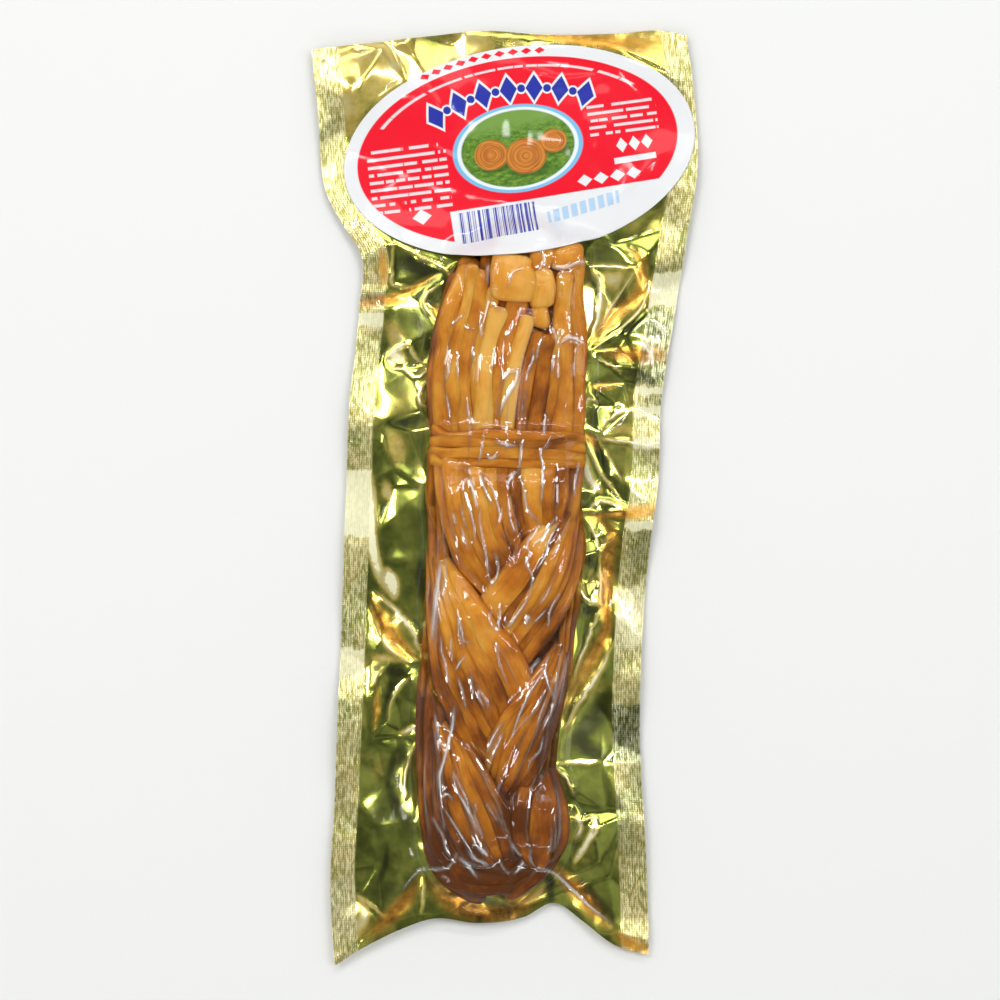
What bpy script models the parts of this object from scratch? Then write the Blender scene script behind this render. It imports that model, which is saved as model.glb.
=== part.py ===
"""Braided string cheese in a vacuum pouch that lies on its foil back.

The pouch has two webs, sealed along both long sides: a stiff foil underneath and a clear film on
top, drawn tight over a plait of cheese strings that is tied near one end. An oval label is stuck
on the film. X runs across the pouch, +Y runs along it to the label's end, and +Z is up. The
origin is on the table, under the middle of the pouch. The model is worked out in millimetres.

The clear web can't be separated from what it holds, so the film with the plait in it is one
solid, out to the film's own surface.
"""

import math

import bmesh
import bpy
import numpy as np

METRES_PER_MM = 0.001

# The webs
FOIL_THICKNESS = 0.35
FILM_THICKNESS = 0.35
WEB_GAP = 0.3  # between the foil and the film over it
FLAT_SHARE = 0.5  # share of the plait's half width that lies flat on the table
SEAM_HEIGHT = 4.6  # where the two webs meet beside the plait
MARGIN_HEIGHT = 2.4  # of the foil far from the plait
MARGIN_FALL = 9.0  # distance over which the foil falls from one to the other
MARGIN_WAVE = 0.55
MARGIN_WAVELENGTH = 44.0
MARGIN_SLANT = 0.35  # how far the waves slant across the pouch
WAVE_GROWTH = (4, 16)  # distances from the plait where the waves start and are full

# The pouch's four edges, as the vacuum draws them in: bottom and top from left to right,
# left and right from bottom to top
BOTTOM_EDGE = [(-45.5, -124.8), (-38, -120), (-28, -115), (-19, -112), (-7, -113.2),
               (5, -111.8), (13, -108), (21, -113), (29, -119), (38.4, -122)]
TOP_EDGE = [(-51.6, 119.8), (-36, 121.6), (-20, 123.6), (-5, 125), (10, 124), (30, 124.2),
            (42, 125), (48.5, 123.6)]
LEFT_EDGE = [(-45.5, -124.8), (-46.6, -104), (-45.5, -80), (-44, -42), (-42.5, 0), (-41.5, 25),
             (-39, 50), (-38.7, 66), (-42.5, 72), (-47, 80), (-50, 104), (-51.6, 119.8)]
RIGHT_EDGE = [(38.4, -122), (38.3, -110), (37.5, -92), (36, -60), (36.5, -40), (38.8, -12),
              (41, 5), (41.7, 25), (45.5, 50), (49, 72), (51.6, 92), (50.5, 108), (48.5, 123.6)]

# The plait's own outline: height along the pouch, its left side and its right side
PLAIT_SIDES = [(66, -12.5, 20.6), (50, -15.4, 20.6), (38, -18.6, 20.6), (25, -20.8, 19.8),
               (13, -19.4, 20.8), (0, -20, 19.4), (-14, -19.2, 20.4), (-30, -20.4, 18.6),
               (-46, -22, 16.6), (-60, -22.4, 13.4), (-72, -22.4, 13), (-84, -22.4, 15.4),
               (-94, -21.4, 15.6), (-104, -18, 12)]
TAIL_END, BRAID_END = 66.0, -104.5
TAIL_CAP, BRAID_CAP = 5.0, 14.0  # lengths over which the two ends round off

# The three strands: heights where one of them comes in over the middle, from alternate sides
CROSSINGS = [21, 6, -9, -23, -42, -57, -80, -96, -112]
STRAND_TURNS = [75, 315, 195]  # degrees of each strand's sway at the first crossing
SWAY_PER_CROSSING = 60
STRAND_MIDDLE = 9.3
STRAND_DIVE = 3.7
STRINGS_ACROSS = 3
STRING_STEP = 4.7
STRING_WIDTH = 5.2
STRING_DEPTH = 4.6
STRAND_CROWN = 1.3  # how much higher a strand's middle strings lie than its outer ones
SLANT_SHARE = 0.8  # a slanted strand's outer strings take this share of their step to the side
CORE_TOP = 9.5
FILM_SPAN = 5  # how far the film reaches over a groove, in rounds of averaging

# The tail's strings over the tie: (x and y of the cut end, x where it enters the tie, width,
# height of its middle)
TAIL_STRINGS = [
    (-11.8, 60, -17.6, 4.2, 9), (-8.9, 62, -14.8, 4.4, 10.8), (-6, 63, -11.4, 4.4, 11.2),
    (-2.8, 58, -8.6, 3.2, 11), (-1, 50, -6.2, 4.7, 12.2), (4.4, 53, -2.2, 4.8, 11.6),
    (6.6, 48.2, 1.4, 3.2, 12.4), (9.4, 44, 4.6, 3.6, 11.6), (12, 43.4, 8, 4, 11),
    (12.6, 58, 11.6, 3.8, 11), (15.6, 64, 14.2, 4.4, 11.2), (18, 63, 18, 4.6, 10),
]
FOLDED_ENDS = [(2, 58, 10.4, 11.2, 13.6), (10, 55.4, 5.6, 8.6, 13)]  # x, y, width, length, z
FOLDED_DEPTH = 3.0
TAIL_BEND_PAST = 6.0  # how far past a cut end the curve of its string's bend runs
TIE_HEIGHT = 13.4
TIE_TURNS = 4
TIE_STRING = 3.0
TIE_STEP = 2.7
TIE_SLANT = -1.8  # how much lower the turns lie at the right side
TIE_TOP = 13.6
TIE_FLATNESS = 6  # the power of the curve that the tie follows over the plait

# The label
LABEL_CENTRE = (3.9, 92.6)
LABEL_LENGTH = 94.5
LABEL_WIDTH = 56.0
LABEL_TURN = math.radians(9)
LABEL_THICKNESS = 0.3
LABEL_REACH = 4  # rounds by which the stiff paper spreads the film's peaks
LABEL_SMOOTHINGS = 6  # rounds of averaging after that
LABEL_GAP = 0.6

# Mesh density
CELLS_ACROSS, CELLS_ALONG = 13, 30
CUTS_OVER_PLAIT = 3
DENSE_SHARE = 1.2
LABEL_CELLS = (20, 12)
RASTER_HALF = (54, 128)
TIE_POINTS = 60
STAMP_LINES = 17  # lines along a string's top from which its height is read
STAMP_FINENESS = 3  # points on each of them for each point of the string
SHARP_ANGLE = 50  # degrees between faces from which an edge stays sharp


def smooth_step(low, high, value):
    share = np.clip((value - low) / (high - low), 0, 1)
    return share * share * (3 - 2 * share)


def read_curve(knots, places):
    """A smooth curve through knots of (place, value...), read at places."""
    knots = np.asarray(sorted(knots), float)
    slopes = np.gradient(knots[:, 1:], knots[:, 0], axis=0)
    places = np.clip(np.asarray(places, float), knots[0, 0], knots[-1, 0])
    index = np.clip(np.searchsorted(knots[:, 0], places, side="right") - 1, 0, len(knots) - 2)
    span = (knots[index + 1, 0] - knots[index, 0])[..., None]
    t = (places - knots[index, 0])[..., None] / span
    return (
        knots[index, 1:] * (1 + 2 * t) * (1 - t) ** 2
        + knots[index + 1, 1:] * t * t * (3 - 2 * t)
        + slopes[index] * span * t * (1 - t) ** 2
        - slopes[index + 1] * span * t * t * (1 - t)
    )


def along_edge(points, share):
    """The point at a share of the length of a smooth edge through points."""
    points = np.asarray(points, float)
    reach = np.concatenate([[0], np.cumsum(np.linalg.norm(np.diff(points, axis=0), axis=1))])
    return read_curve(np.column_stack([reach / reach[-1], points]).tolist(), share)


def pouch_point(u, v):
    """The place in plan at shares u across and v along the pouch: a patch between its edges."""
    u, v = np.asarray(u, float), np.asarray(v, float)
    bottom, top = along_edge(BOTTOM_EDGE, u), along_edge(TOP_EDGE, u)
    left, right = along_edge(LEFT_EDGE, v), along_edge(RIGHT_EDGE, v)
    u, v = u[..., None], v[..., None]
    corners = (
        (1 - u) * (1 - v) * np.array(BOTTOM_EDGE[0])
        + u * (1 - v) * np.array(BOTTOM_EDGE[-1])
        + (1 - u) * v * np.array(TOP_EDGE[0])
        + u * v * np.array(TOP_EDGE[-1])
    )
    return (1 - v) * bottom + v * top + (1 - u) * left + u * right - corners


def plait_middle_and_half(y):
    left, right = np.moveaxis(read_curve(PLAIT_SIDES, y), -1, 0)
    return (left + right) / 2, (right - left) / 2


def plait_share(x, y):
    """How far a point is from the plait's middle line: 1 on its outline, more outside it."""
    middle, half = plait_middle_and_half(y)
    past_tail = np.maximum(y - (TAIL_END - TAIL_CAP), 0) / TAIL_CAP
    past_braid = np.maximum(BRAID_END + BRAID_CAP - y, 0) / BRAID_CAP
    return np.hypot((x - middle) / half, past_tail + past_braid)


def foil_height(x, y):
    """The foil's upper surface: flat under the plait, up its sides, then out to the edges."""
    share = plait_share(x, y)
    outside = np.maximum(share - 1, 0) * plait_middle_and_half(y)[1]
    wave = MARGIN_WAVE * np.sin(2 * math.pi * (y + MARGIN_SLANT * x) / MARGIN_WAVELENGTH)
    margin = MARGIN_HEIGHT + wave * smooth_step(*WAVE_GROWTH, outside)
    away = margin + (SEAM_HEIGHT - margin) * np.exp(-outside / MARGIN_FALL)
    return FOIL_THICKNESS + (away - FOIL_THICKNESS) * smooth_step(FLAT_SHARE, 1, share)


def strand_line(strand, y):
    """A strand's middle line at heights y, and how far it lies to the side, from -1 to 1."""
    turns = read_curve([(height, count) for count, height in enumerate(CROSSINGS)], y)[:, 0]
    angle = np.radians(STRAND_TURNS[strand] + SWAY_PER_CROSSING * turns)
    middle, half = plait_middle_and_half(y)
    rounding = np.sqrt(1 - np.clip((BRAID_END + BRAID_CAP - y) / BRAID_CAP, 0, 0.98) ** 2)
    strings_half = (STRINGS_ACROSS - 1) / 2 * STRING_STEP * SLANT_SHARE
    reach = half * rounding - strings_half - STRING_WIDTH / 2
    z = STRAND_MIDDLE - STRAND_DIVE * np.sin(2 * angle)
    return np.stack([middle + np.maximum(reach, 0) * np.sin(angle), y, z * rounding], axis=1)


def plait_strings():
    """(middle line, width, depth) of each string in the three strands, below the tie."""
    y = np.arange(TIE_HEIGHT, BRAID_END, -1.0)
    strings = []
    for strand in range(len(STRAND_TURNS)):
        line = strand_line(strand, y)
        heading = np.gradient(line[:, :2], axis=0)
        heading /= np.linalg.norm(heading, axis=1, keepdims=True)
        across = np.stack([-heading[:, 1], heading[:, 0]], axis=1)
        for place in range(STRINGS_ACROSS):
            step = place - (STRINGS_ACROSS - 1) / 2
            string = line.copy()
            string[:, :2] += across * step * STRING_STEP
            string[:, 2] += STRAND_CROWN * (1 - abs(step))
            strings.append((string, STRING_WIDTH, STRING_DEPTH))
    return strings


def tail_strings():
    """(middle line, width, depth) of each string above the tie, and of the folded ends."""
    strings = []
    for end_x, end_y, tie_x, width, level in TAIL_STRINGS:
        y = np.arange(end_y, TIE_HEIGHT, -1.0)
        share = smooth_step(TIE_HEIGHT, end_y + TAIL_BEND_PAST, y)
        x = tie_x + (end_x - tie_x) * share
        strings.append((np.stack([x, y, np.full_like(y, level)], axis=1), width, STRING_DEPTH))
    for x, y, width, length, level in FOLDED_ENDS:
        ys = np.arange(y + length / 2, y - length / 2, -0.5)
        line = np.stack([np.full_like(ys, x), ys, np.full_like(ys, level)], axis=1)
        strings.append((line, width, FOLDED_DEPTH))
    return strings


def tie_strings():
    """(middle line, width, depth) of each turn of the tie, as it shows from above."""
    middle, half = plait_middle_and_half(TIE_HEIGHT)
    share = np.linspace(-1, 1, TIE_POINTS)
    turns = []
    for turn in range(TIE_TURNS):
        drop = (turn - (TIE_TURNS - 1) / 2) * TIE_STEP
        y = TIE_HEIGHT - drop + TIE_SLANT * (share + 1) / 2
        z = SEAM_HEIGHT + (TIE_TOP - SEAM_HEIGHT) * np.sqrt(1 - share**TIE_FLATNESS)
        turns.append((np.stack([middle + share * half, y, z], axis=1), TIE_STRING, TIE_STRING))
    return turns


def raster_axes():
    return tuple(np.arange(-half, half + 1.0) for half in RASTER_HALF)


def stamp(raster, line, width, depth):
    """Raises the raster to the top of a string of oval section that follows line."""
    xs, ys = raster_axes()
    places = np.linspace(0, len(line) - 1, STAMP_FINENESS * len(line))
    fine = np.stack([np.interp(places, np.arange(len(line)), line[:, axis]) for axis in range(3)],
                    axis=1)
    heading = np.gradient(fine[:, :2], axis=0)
    heading /= np.linalg.norm(heading, axis=1, keepdims=True)
    across = np.stack([heading[:, 1], -heading[:, 0]], axis=1)
    for share in np.linspace(-1, 1, STAMP_LINES):
        point = fine[:, :2] + across * share * width / 2
        top = fine[:, 2] + depth / 2 * math.sqrt(1 - share * share)
        column = np.rint(point[:, 0] - xs[0]).astype(int)
        row = np.rint(point[:, 1] - ys[0]).astype(int)
        np.maximum.at(raster, (row, column), top)


def averaged(raster):
    around = raster.copy()
    around[1:-1, 1:-1] = (raster[:-2, 1:-1] + raster[2:, 1:-1] + raster[1:-1, :-2]
                          + raster[1:-1, 2:]) / 4
    return around


def film_raster():
    """The film's upper surface as heights on a grid: over the strings, and from them down to the
    foil, bridging what is narrow."""
    x, y = np.meshgrid(*raster_axes())
    lowest = foil_height(x, y) + WEB_GAP + FILM_THICKNESS
    share = plait_share(x, y)
    under = CORE_TOP * np.sqrt(np.clip(1 - share**4, 0, 1))
    for line, width, depth in plait_strings() + tail_strings() + tie_strings():
        stamp(under, line, width, depth)
    under = np.where(under > 0, under + FILM_THICKNESS, 0)
    height = np.maximum(lowest, under)
    for _ in range(FILM_SPAN):
        height = np.maximum(averaged(height), np.maximum(lowest, under))
    return height


def label_bed(film):
    """A smooth surface over the film, which the label lies on."""
    bed = film.copy()
    for _ in range(LABEL_REACH):
        near = [np.roll(bed, step, axis) for axis in (0, 1) for step in (-1, 1)]
        bed = np.maximum.reduce([bed, *near])
    for _ in range(LABEL_SMOOTHINGS):
        bed = averaged(bed)
    return np.maximum(bed, film)


def read_raster(raster, x, y):
    """The raster's height at points, between its four nearest values."""
    xs, ys = raster_axes()
    column = np.clip(np.asarray(x) - xs[0], 0, len(xs) - 1.001)
    row = np.clip(np.asarray(y) - ys[0], 0, len(ys) - 1.001)
    i, j = row.astype(int), column.astype(int)
    s, t = row - i, column - j
    return ((1 - s) * ((1 - t) * raster[i, j] + t * raster[i, j + 1])
            + s * ((1 - t) * raster[i + 1, j] + t * raster[i + 1, j + 1]))


def clear_scene():
    for old in list(bpy.data.objects):
        bpy.data.objects.remove(old)


def made_material(name, colour, roughness, metallic=0.0):
    made = bpy.data.materials.new(name)
    made.use_nodes = True
    shader = made.node_tree.nodes["Principled BSDF"]
    shader.inputs["Base Color"].default_value = (*colour, 1)
    shader.inputs["Roughness"].default_value = roughness
    shader.inputs["Metallic"].default_value = metallic
    return made


def finish(name, bm, material):
    mesh = bpy.data.meshes.new(name)
    bmesh.ops.recalc_face_normals(bm, faces=bm.faces[:])
    bm.to_mesh(mesh)
    bm.free()
    mesh.shade_smooth()
    mesh.set_sharp_from_angle(angle=math.radians(SHARP_ANGLE))
    mesh.materials.append(material)
    made = bpy.data.objects.new(name, mesh)
    bpy.context.scene.collection.objects.link(made)
    return made


def unit_grid(across, along):
    """A grid of faces over shares 0 to 1 both ways, in a new bmesh."""
    bm = bmesh.new()
    bmesh.ops.create_grid(bm, x_segments=across, y_segments=along, size=0.5)
    bmesh.ops.translate(bm, verts=bm.verts[:], vec=(0.5, 0.5, 0))
    return bm


def shares_of(bm):
    return np.array([vertex.co[:] for vertex in bm.verts])


def place_vertices(bm, positions):
    for vertex, position in zip(bm.verts, positions):
        vertex.co = position * METRES_PER_MM


def thicken(made, name, thickness, offset):
    web = made.modifiers.new(name, "SOLIDIFY")
    web.thickness = thickness * METRES_PER_MM
    web.offset = offset


def make_backing_foil():
    bm = unit_grid(CELLS_ACROSS, CELLS_ALONG)
    shares = shares_of(bm)
    plan = pouch_point(shares[:, 0], shares[:, 1])
    place_vertices(bm, np.column_stack([plan, foil_height(plan[:, 0], plan[:, 1])]))
    foil = finish("backing_foil", bm, made_material("gold foil", (0.72, 0.60, 0.22), 0.2, 1.0))
    thicken(foil, "web", FOIL_THICKNESS, -1)


def over_plait(face):
    centre = face.calc_center_median()
    x, y = pouch_point(centre.x, centre.y)
    return centre.z > 0.99 and plait_share(x, y) < DENSE_SHARE


def make_plait_in_film(film):
    """The clear web with the plait in it, over the foil. Until the end, X and Y are shares across
    and along the pouch, and Z is 0 on the underside and 1 on the film."""
    bm = unit_grid(CELLS_ACROSS, CELLS_ALONG)
    raised = bmesh.ops.extrude_face_region(bm, geom=bm.faces[:], use_keep_orig=True)["geom"]
    upper = [part for part in raised if isinstance(part, bmesh.types.BMVert)]
    bmesh.ops.translate(bm, verts=upper, vec=(0, 0, 1))
    faces = [part for part in raised if isinstance(part, bmesh.types.BMFace)]
    dense = [face for face in faces if over_plait(face)]
    edges = list({edge for face in dense for edge in face.edges})
    bmesh.ops.subdivide_edges(bm, edges=edges, cuts=CUTS_OVER_PLAIT, use_grid_fill=True)
    shares = shares_of(bm)
    plan = pouch_point(shares[:, 0], shares[:, 1])
    bottom = foil_height(plan[:, 0], plan[:, 1]) + WEB_GAP
    top = np.maximum(read_raster(film, plan[:, 0], plan[:, 1]), bottom + FILM_THICKNESS)
    place_vertices(bm, np.column_stack([plan, np.where(shares[:, 2] > 0.5, top, bottom)]))
    finish("plait_in_film", bm, made_material("smoked cheese", (0.55, 0.23, 0.05), 0.25))


def make_label(film):
    bm = unit_grid(*LABEL_CELLS)
    u, v = (shares_of(bm)[:, :2] * 2 - 1).T
    along = LABEL_LENGTH / 2 * u * np.sqrt(1 - v * v / 2)
    across = LABEL_WIDTH / 2 * v * np.sqrt(1 - u * u / 2)
    x = LABEL_CENTRE[0] + along * math.cos(LABEL_TURN) - across * math.sin(LABEL_TURN)
    y = LABEL_CENTRE[1] + along * math.sin(LABEL_TURN) + across * math.cos(LABEL_TURN)
    place_vertices(bm, np.column_stack([x, y, read_raster(label_bed(film), x, y) + LABEL_GAP]))
    label = finish("label", bm, made_material("printed paper", (0.85, 0.2, 0.24), 0.35))
    thicken(label, "paper", LABEL_THICKNESS, 1)


def main():
    clear_scene()
    film = film_raster()
    make_backing_foil()
    make_plait_in_film(film)
    make_label(film)


main()
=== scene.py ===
"""Looks of a braided string cheese in a vacuum pouch: a gold foil back, a clear film drawn tight
over a plait of smoked cheese strings, and an oval label.

The file is laid out as an add-on with an operator for each piece, and runs as a script. Shapes are
worked out in millimetres, with X across the pouch, Y along it and Z up.
"""

import functools
import math

import bpy
import numpy as np
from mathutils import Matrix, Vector
from mathutils.geometry import delaunay_2d_cdt


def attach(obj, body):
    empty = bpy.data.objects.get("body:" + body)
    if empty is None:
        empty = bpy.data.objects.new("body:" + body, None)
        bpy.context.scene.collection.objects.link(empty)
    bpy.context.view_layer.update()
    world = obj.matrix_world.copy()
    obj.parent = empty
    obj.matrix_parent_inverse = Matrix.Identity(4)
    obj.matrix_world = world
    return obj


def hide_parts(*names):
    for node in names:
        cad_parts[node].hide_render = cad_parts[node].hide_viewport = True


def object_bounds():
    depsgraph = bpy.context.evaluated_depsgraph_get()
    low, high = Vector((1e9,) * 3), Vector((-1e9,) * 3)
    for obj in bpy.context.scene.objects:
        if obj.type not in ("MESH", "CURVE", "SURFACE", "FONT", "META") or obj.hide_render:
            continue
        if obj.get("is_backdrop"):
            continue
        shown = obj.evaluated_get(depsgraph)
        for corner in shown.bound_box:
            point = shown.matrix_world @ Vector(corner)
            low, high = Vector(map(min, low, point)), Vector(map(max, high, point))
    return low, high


bl_info = {
    "name": "Braided String Cheese",
    "version": (1, 0, 0),
    "blender": (4, 5, 0),
    "location": "View3D > Sidebar > Cheese",
    "description": "Makes a braided string cheese in its vacuum pouch, with its label and stage",
    "category": "Object",
}

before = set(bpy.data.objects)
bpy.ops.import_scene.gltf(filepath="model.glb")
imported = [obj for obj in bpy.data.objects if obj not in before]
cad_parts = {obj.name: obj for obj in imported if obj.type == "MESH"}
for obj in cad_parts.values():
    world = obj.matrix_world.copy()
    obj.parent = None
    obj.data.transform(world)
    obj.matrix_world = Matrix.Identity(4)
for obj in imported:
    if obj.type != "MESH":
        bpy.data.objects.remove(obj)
CAD_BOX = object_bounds()
SEED = 20

MM = 0.001

# ---------------------------------------------------------------------------------------------
# The pouch's outline and the plait's, as in the CAD model (mm)

BOTTOM_EDGE = [(-45.5, -124.8), (-38, -120), (-28, -115), (-19, -112), (-7, -113.2),
               (5, -111.8), (13, -108), (21, -113), (29, -119), (38.4, -122)]
TOP_EDGE = [(-51.6, 119.8), (-36, 121.6), (-20, 123.6), (-5, 125), (10, 124), (30, 124.2),
            (42, 125), (48.5, 123.6)]
LEFT_EDGE = [(-45.5, -124.8), (-46.6, -104), (-45.5, -80), (-44, -42), (-42.5, 0), (-41.5, 25),
             (-39, 50), (-38.7, 66), (-42.5, 72), (-47, 80), (-50, 104), (-51.6, 119.8)]
RIGHT_EDGE = [(38.4, -122), (38.3, -110), (37.5, -92), (36, -60), (36.5, -40), (38.8, -12),
              (41, 5), (41.7, 25), (45.5, 50), (49, 72), (51.6, 92), (50.5, 108), (48.5, 123.6)]
PLAIT_SIDES = [(66, -12.5, 20.6), (50, -15.4, 20.6), (38, -18.6, 20.6), (25, -20.8, 19.8),
               (13, -19.4, 20.8), (0, -20, 19.4), (-14, -19.2, 20.4), (-30, -20.4, 18.6),
               (-46, -22, 16.6), (-60, -22.4, 13.4), (-72, -22.4, 13), (-84, -22.4, 15.4),
               (-94, -21.4, 15.6), (-104, -18, 12)]
TAIL_END, BRAID_END = 66.0, -104.5
TAIL_CAP, BRAID_CAP = 5.0, 14.0
FLAT_SHARE = 0.5
SEAM_HEIGHT = 4.6
MARGIN_HEIGHT = 2.4
MARGIN_FALL = 9.0
MARGIN_WAVE = 0.55
MARGIN_WAVELENGTH = 44.0
SEAL_SHARE = 0.085  # share of the pouch's width that each ribbed seal takes

# ---------------------------------------------------------------------------------------------
# The three strands (mm)

CROSSINGS = [21, 6, -9, -23, -42, -57, -80, -96, -112]
STRAND_TURNS = [75, 315, 195]
SWAY_PER_CROSSING = 60
STRAND_MIDDLE = 9.0
STRAND_DIVE = 3.5
STRAND_WIDTH = 16.0
RIBBON_CROWN = 0.9
STRING_OVERLAP = 1.62
BACK_TONE = 0.3
BACK_STRINGS = 4
BACK_DROP = 3.6
SIDE_DROP = 4.4  # how far the strings at the plait's sides lie below those at its middle

# The ribbons of strings that show in front: their left and right edges as they run down, their
# levels at even steps, and their strings from left to right as (share of the width, tone)
RIBBONS = {
    "left_edge_upper": (
        [(-20.2, 14), (-20.0, 0), (-19.8, -12), (-20.1, -22), (-20.9, -32), (-21.6, -42),
         (-22.4, -52), (-22.6, -60)],
        [(-16.2, 14), (-15.6, 0), (-15.0, -10), (-15.2, -20), (-16.6, -30), (-17.6, -40),
         (-18.6, -50), (-19.2, -60)],
        [9.4, 9.6, 9.6, 9.4, 9.0, 8.6, 8.0],
        [(1.0, 0.34), (1.1, 0.42)]),
    "right_edge": (
        [(14.5, -4), (16, -14), (15.4, -24), (14.4, -34), (13.6, -44), (11.6, -54), (9.6, -64),
         (8, -76), (9, -82)],
        [(20.0, -2), (20.4, -14), (19.6, -26), (18.3, -36), (17.3, -46), (15.2, -55), (13.6, -66),
         (13.0, -75), (14.6, -82)],
        [9.4, 10.0, 9.8, 9.4, 9.2, 9.0, 8.8],
        [(1.0, 0.42), (0.9, 0.5), (1.1, 0.3)]),
    "left_edge_lower": (
        [(-22.0, -44), (-22.9, -54), (-22.8, -66), (-22.6, -78), (-21.8, -88), (-19.4, -97),
         (-14, -102.6)],
        [(-14.0, -46), (-13.2, -56), (-14.6, -64), (-16.0, -74), (-15.6, -82), (-12.0, -91),
         (-7, -97.5)],
        [8.4, 9.6, 10.2, 10.2, 9.6, 8.2, 4.4],
        [(1.0, 0.3), (1.2, 0.36), (0.9, 0.4), (0.8, 0.3)]),
    "right_upper": (
        [(0.6, 12), (1.2, 4), (1.8, -2), (3.4, -8), (5.4, -13), (8, -19)],
        [(19.8, 12), (19.4, 4), (18.8, -2), (17.4, -7), (14.6, -12), (12, -19)],
        [9.6, 11.4, 11.4, 10.8, 9.4, 7.0],
        [(1.0, 0.26), (1.5, 0.66), (0.8, 0.42), (1.0, 0.38), (0.9, 0.44)]),
    "left_upper": (
        [(-18.4, 12), (-17.6, 2), (-15.8, -8), (-12.2, -17), (-6.6, -24), (-1.2, -29.5)],
        [(0.2, 12), (0.9, 2), (1.6, -4), (3.4, -10.5), (5.4, -15.5), (8.6, -22)],
        [9.8, 12.2, 12.5, 12.2, 11.2, 8.0],
        [(0.9, 0.46), (1.2, 0.58), (0.8, 0.5), (1.4, 0.6), (1.0, 0.52), (1.1, 0.42)]),
    "right_middle": (
        [(2, -50), (6.4, -43), (12, -35), (16.6, -27), (19.6, -17), (20.3, -8), (19.6, 0)],
        [(-6.8, -35), (-5.6, -29), (-2.9, -23.6), (1.9, -17.6), (6.2, -11.6), (11.2, -6.2), (17.6, -2)],
        [7.4, 10.4, 12.4, 12.9, 12.4, 11.0, 8.6],
        [(1.1, 0.36), (0.8, 0.24), (1.2, 0.52), (1.1, 0.58), (0.7, 0.18), (2.3, 0.78)]),
    "left_middle": (
        [(-20.6, -14), (-20.6, -28), (-20.0, -38), (-18.2, -48), (-14.8, -57), (-10.2, -65),
         (-5.6, -71), (-1, -77)],
        [(-15.4, -15), (-9.9, -23), (-5.5, -29), (-2.4, -35), (1.2, -39.2), (4.9, -46.3),
         (6.2, -52.5), (7, -61)],
        [8.2, 11.8, 12.8, 13.0, 12.8, 12.2, 10.4, 7.0],
        [(0.8, 0.36), (0.8, 0.44), (0.9, 0.52), (0.9, 0.48), (1.0, 0.56), (1.9, 0.62)]),
    "right_lower": (
        [(0, -86), (4.6, -79), (8.6, -72), (12.2, -62), (14.8, -54), (16.8, -46), (17.4, -36)],
        [(-6.4, -77), (-5.7, -70.5), (-3.8, -62.5), (-0.3, -56.4), (3.8, -52), (8.2, -45.4),
         (13.6, -38)],
        [6.8, 9.8, 12.0, 12.8, 12.6, 11.4, 8.2],
        [(0.9, 0.2), (1.0, 0.36), (0.9, 0.5), (1.1, 0.46), (0.9, 0.54), (1.0, 0.6)]),
    "lower_loop": (
        [(6.4, -70), (3.8, -78), (2.7, -85), (3.6, -92), (7, -98)],
        [(12.4, -70), (15.0, -78), (16.0, -85), (14.8, -92), (11, -98)],
        [7.4, 10.8, 12.0, 10.6, 6.2],
        [(1.1, 0.42), (1.3, 0.52), (1.0, 0.34)]),
    "left_lower": (
        [(-19.6, -56), (-18.0, -66), (-17.6, -75), (-16.2, -83), (-13.2, -90.5), (-10, -96), (-6, -99.5)],
        [(-14.4, -59), (-8.6, -66.4), (-5.4, -71), (-2.6, -75.6), (0.4, -81), (3.0, -89), (4.6, -97)],
        [8.6, 12.0, 12.8, 12.8, 12.0, 9.4, 3.6],
        [(0.9, 0.38), (1.1, 0.5), (0.8, 0.42), (1.3, 0.54), (1.1, 0.46), (0.8, 0.38)]),
    "under_end": (
        [(-20.6, -86), (-19.4, -96), (-15, -102), (-8, -104.6), (0, -104.4), (7, -102), (12.6, -95.4),
         (13.6, -86)],
        [(-14, -84), (-12.4, -91), (-9, -95), (-4, -97), (1, -97), (5, -94.4), (7, -90), (8, -84)],
        [6.6, 6.6, 6.2, 5.8, 5.8, 6.2, 6.6, 6.6],
        [(1.0, 0.22), (1.0, 0.28), (1.0, 0.24)]),
}

# The tail: cut end, middle and tie ends of each string, its width, level and tone
TAIL_STRINGS = [
    (-12.4, 59.5, -18.8, -18.2, 3.8, 9.4, 0.26), (-10.2, 61.5, -16.6, -15.6, 4.2, 10.4, 0.6),
    (-7.6, 61.8, -13.5, -12.4, 3.6, 10.7, 0.64), (-5.4, 60.5, -10.3, -9.6, 4.4, 10.9, 0.46),
    (-3.0, 56, -7.8, -7.4, 3.8, 11.0, 0.62), (-0.8, 50.5, -4.9, -5.4, 4.9, 11.9, 0.92),
    (4.2, 53, -1.4, -2.6, 4.9, 11.6, 0.44), (6.8, 48.2, 2.1, 0.8, 3.4, 12.2, 0.95),
    (9.4, 44, 6.2, 4.0, 3.2, 11.6, 0.36), (11.5, 43.2, 10.3, 7.6, 4.2, 11.3, 0.3),
    (13.2, 45, 13.1, 11.2, 3.0, 11.0, 0.52), (15.0, 60, 15.4, 14.4, 4.6, 10.8, 0.6),
    (18.1, 64.8, 18.6, 17.8, 5.6, 9.8, 0.66),
]
UNDER_STRINGS = [
    (-8.6, 64, -15, -15, 4.6, 6.8, 0.35), (-3.6, 66, -8, -8, 4.8, 7.8, 0.5),
    (1.5, 70, -2, -3, 5.2, 8.4, 0.6), (8.0, 71, 5, 4, 6.2, 8.8, 0.8), (12.6, 66, 11, 10, 4.6, 8.0, 0.6),
    (16.4, 66, 16, 15.5, 4.6, 7.0, 0.5),
]
TAIL_DEPTH = 3.2
TAIL_SPREAD = 1.22
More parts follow.
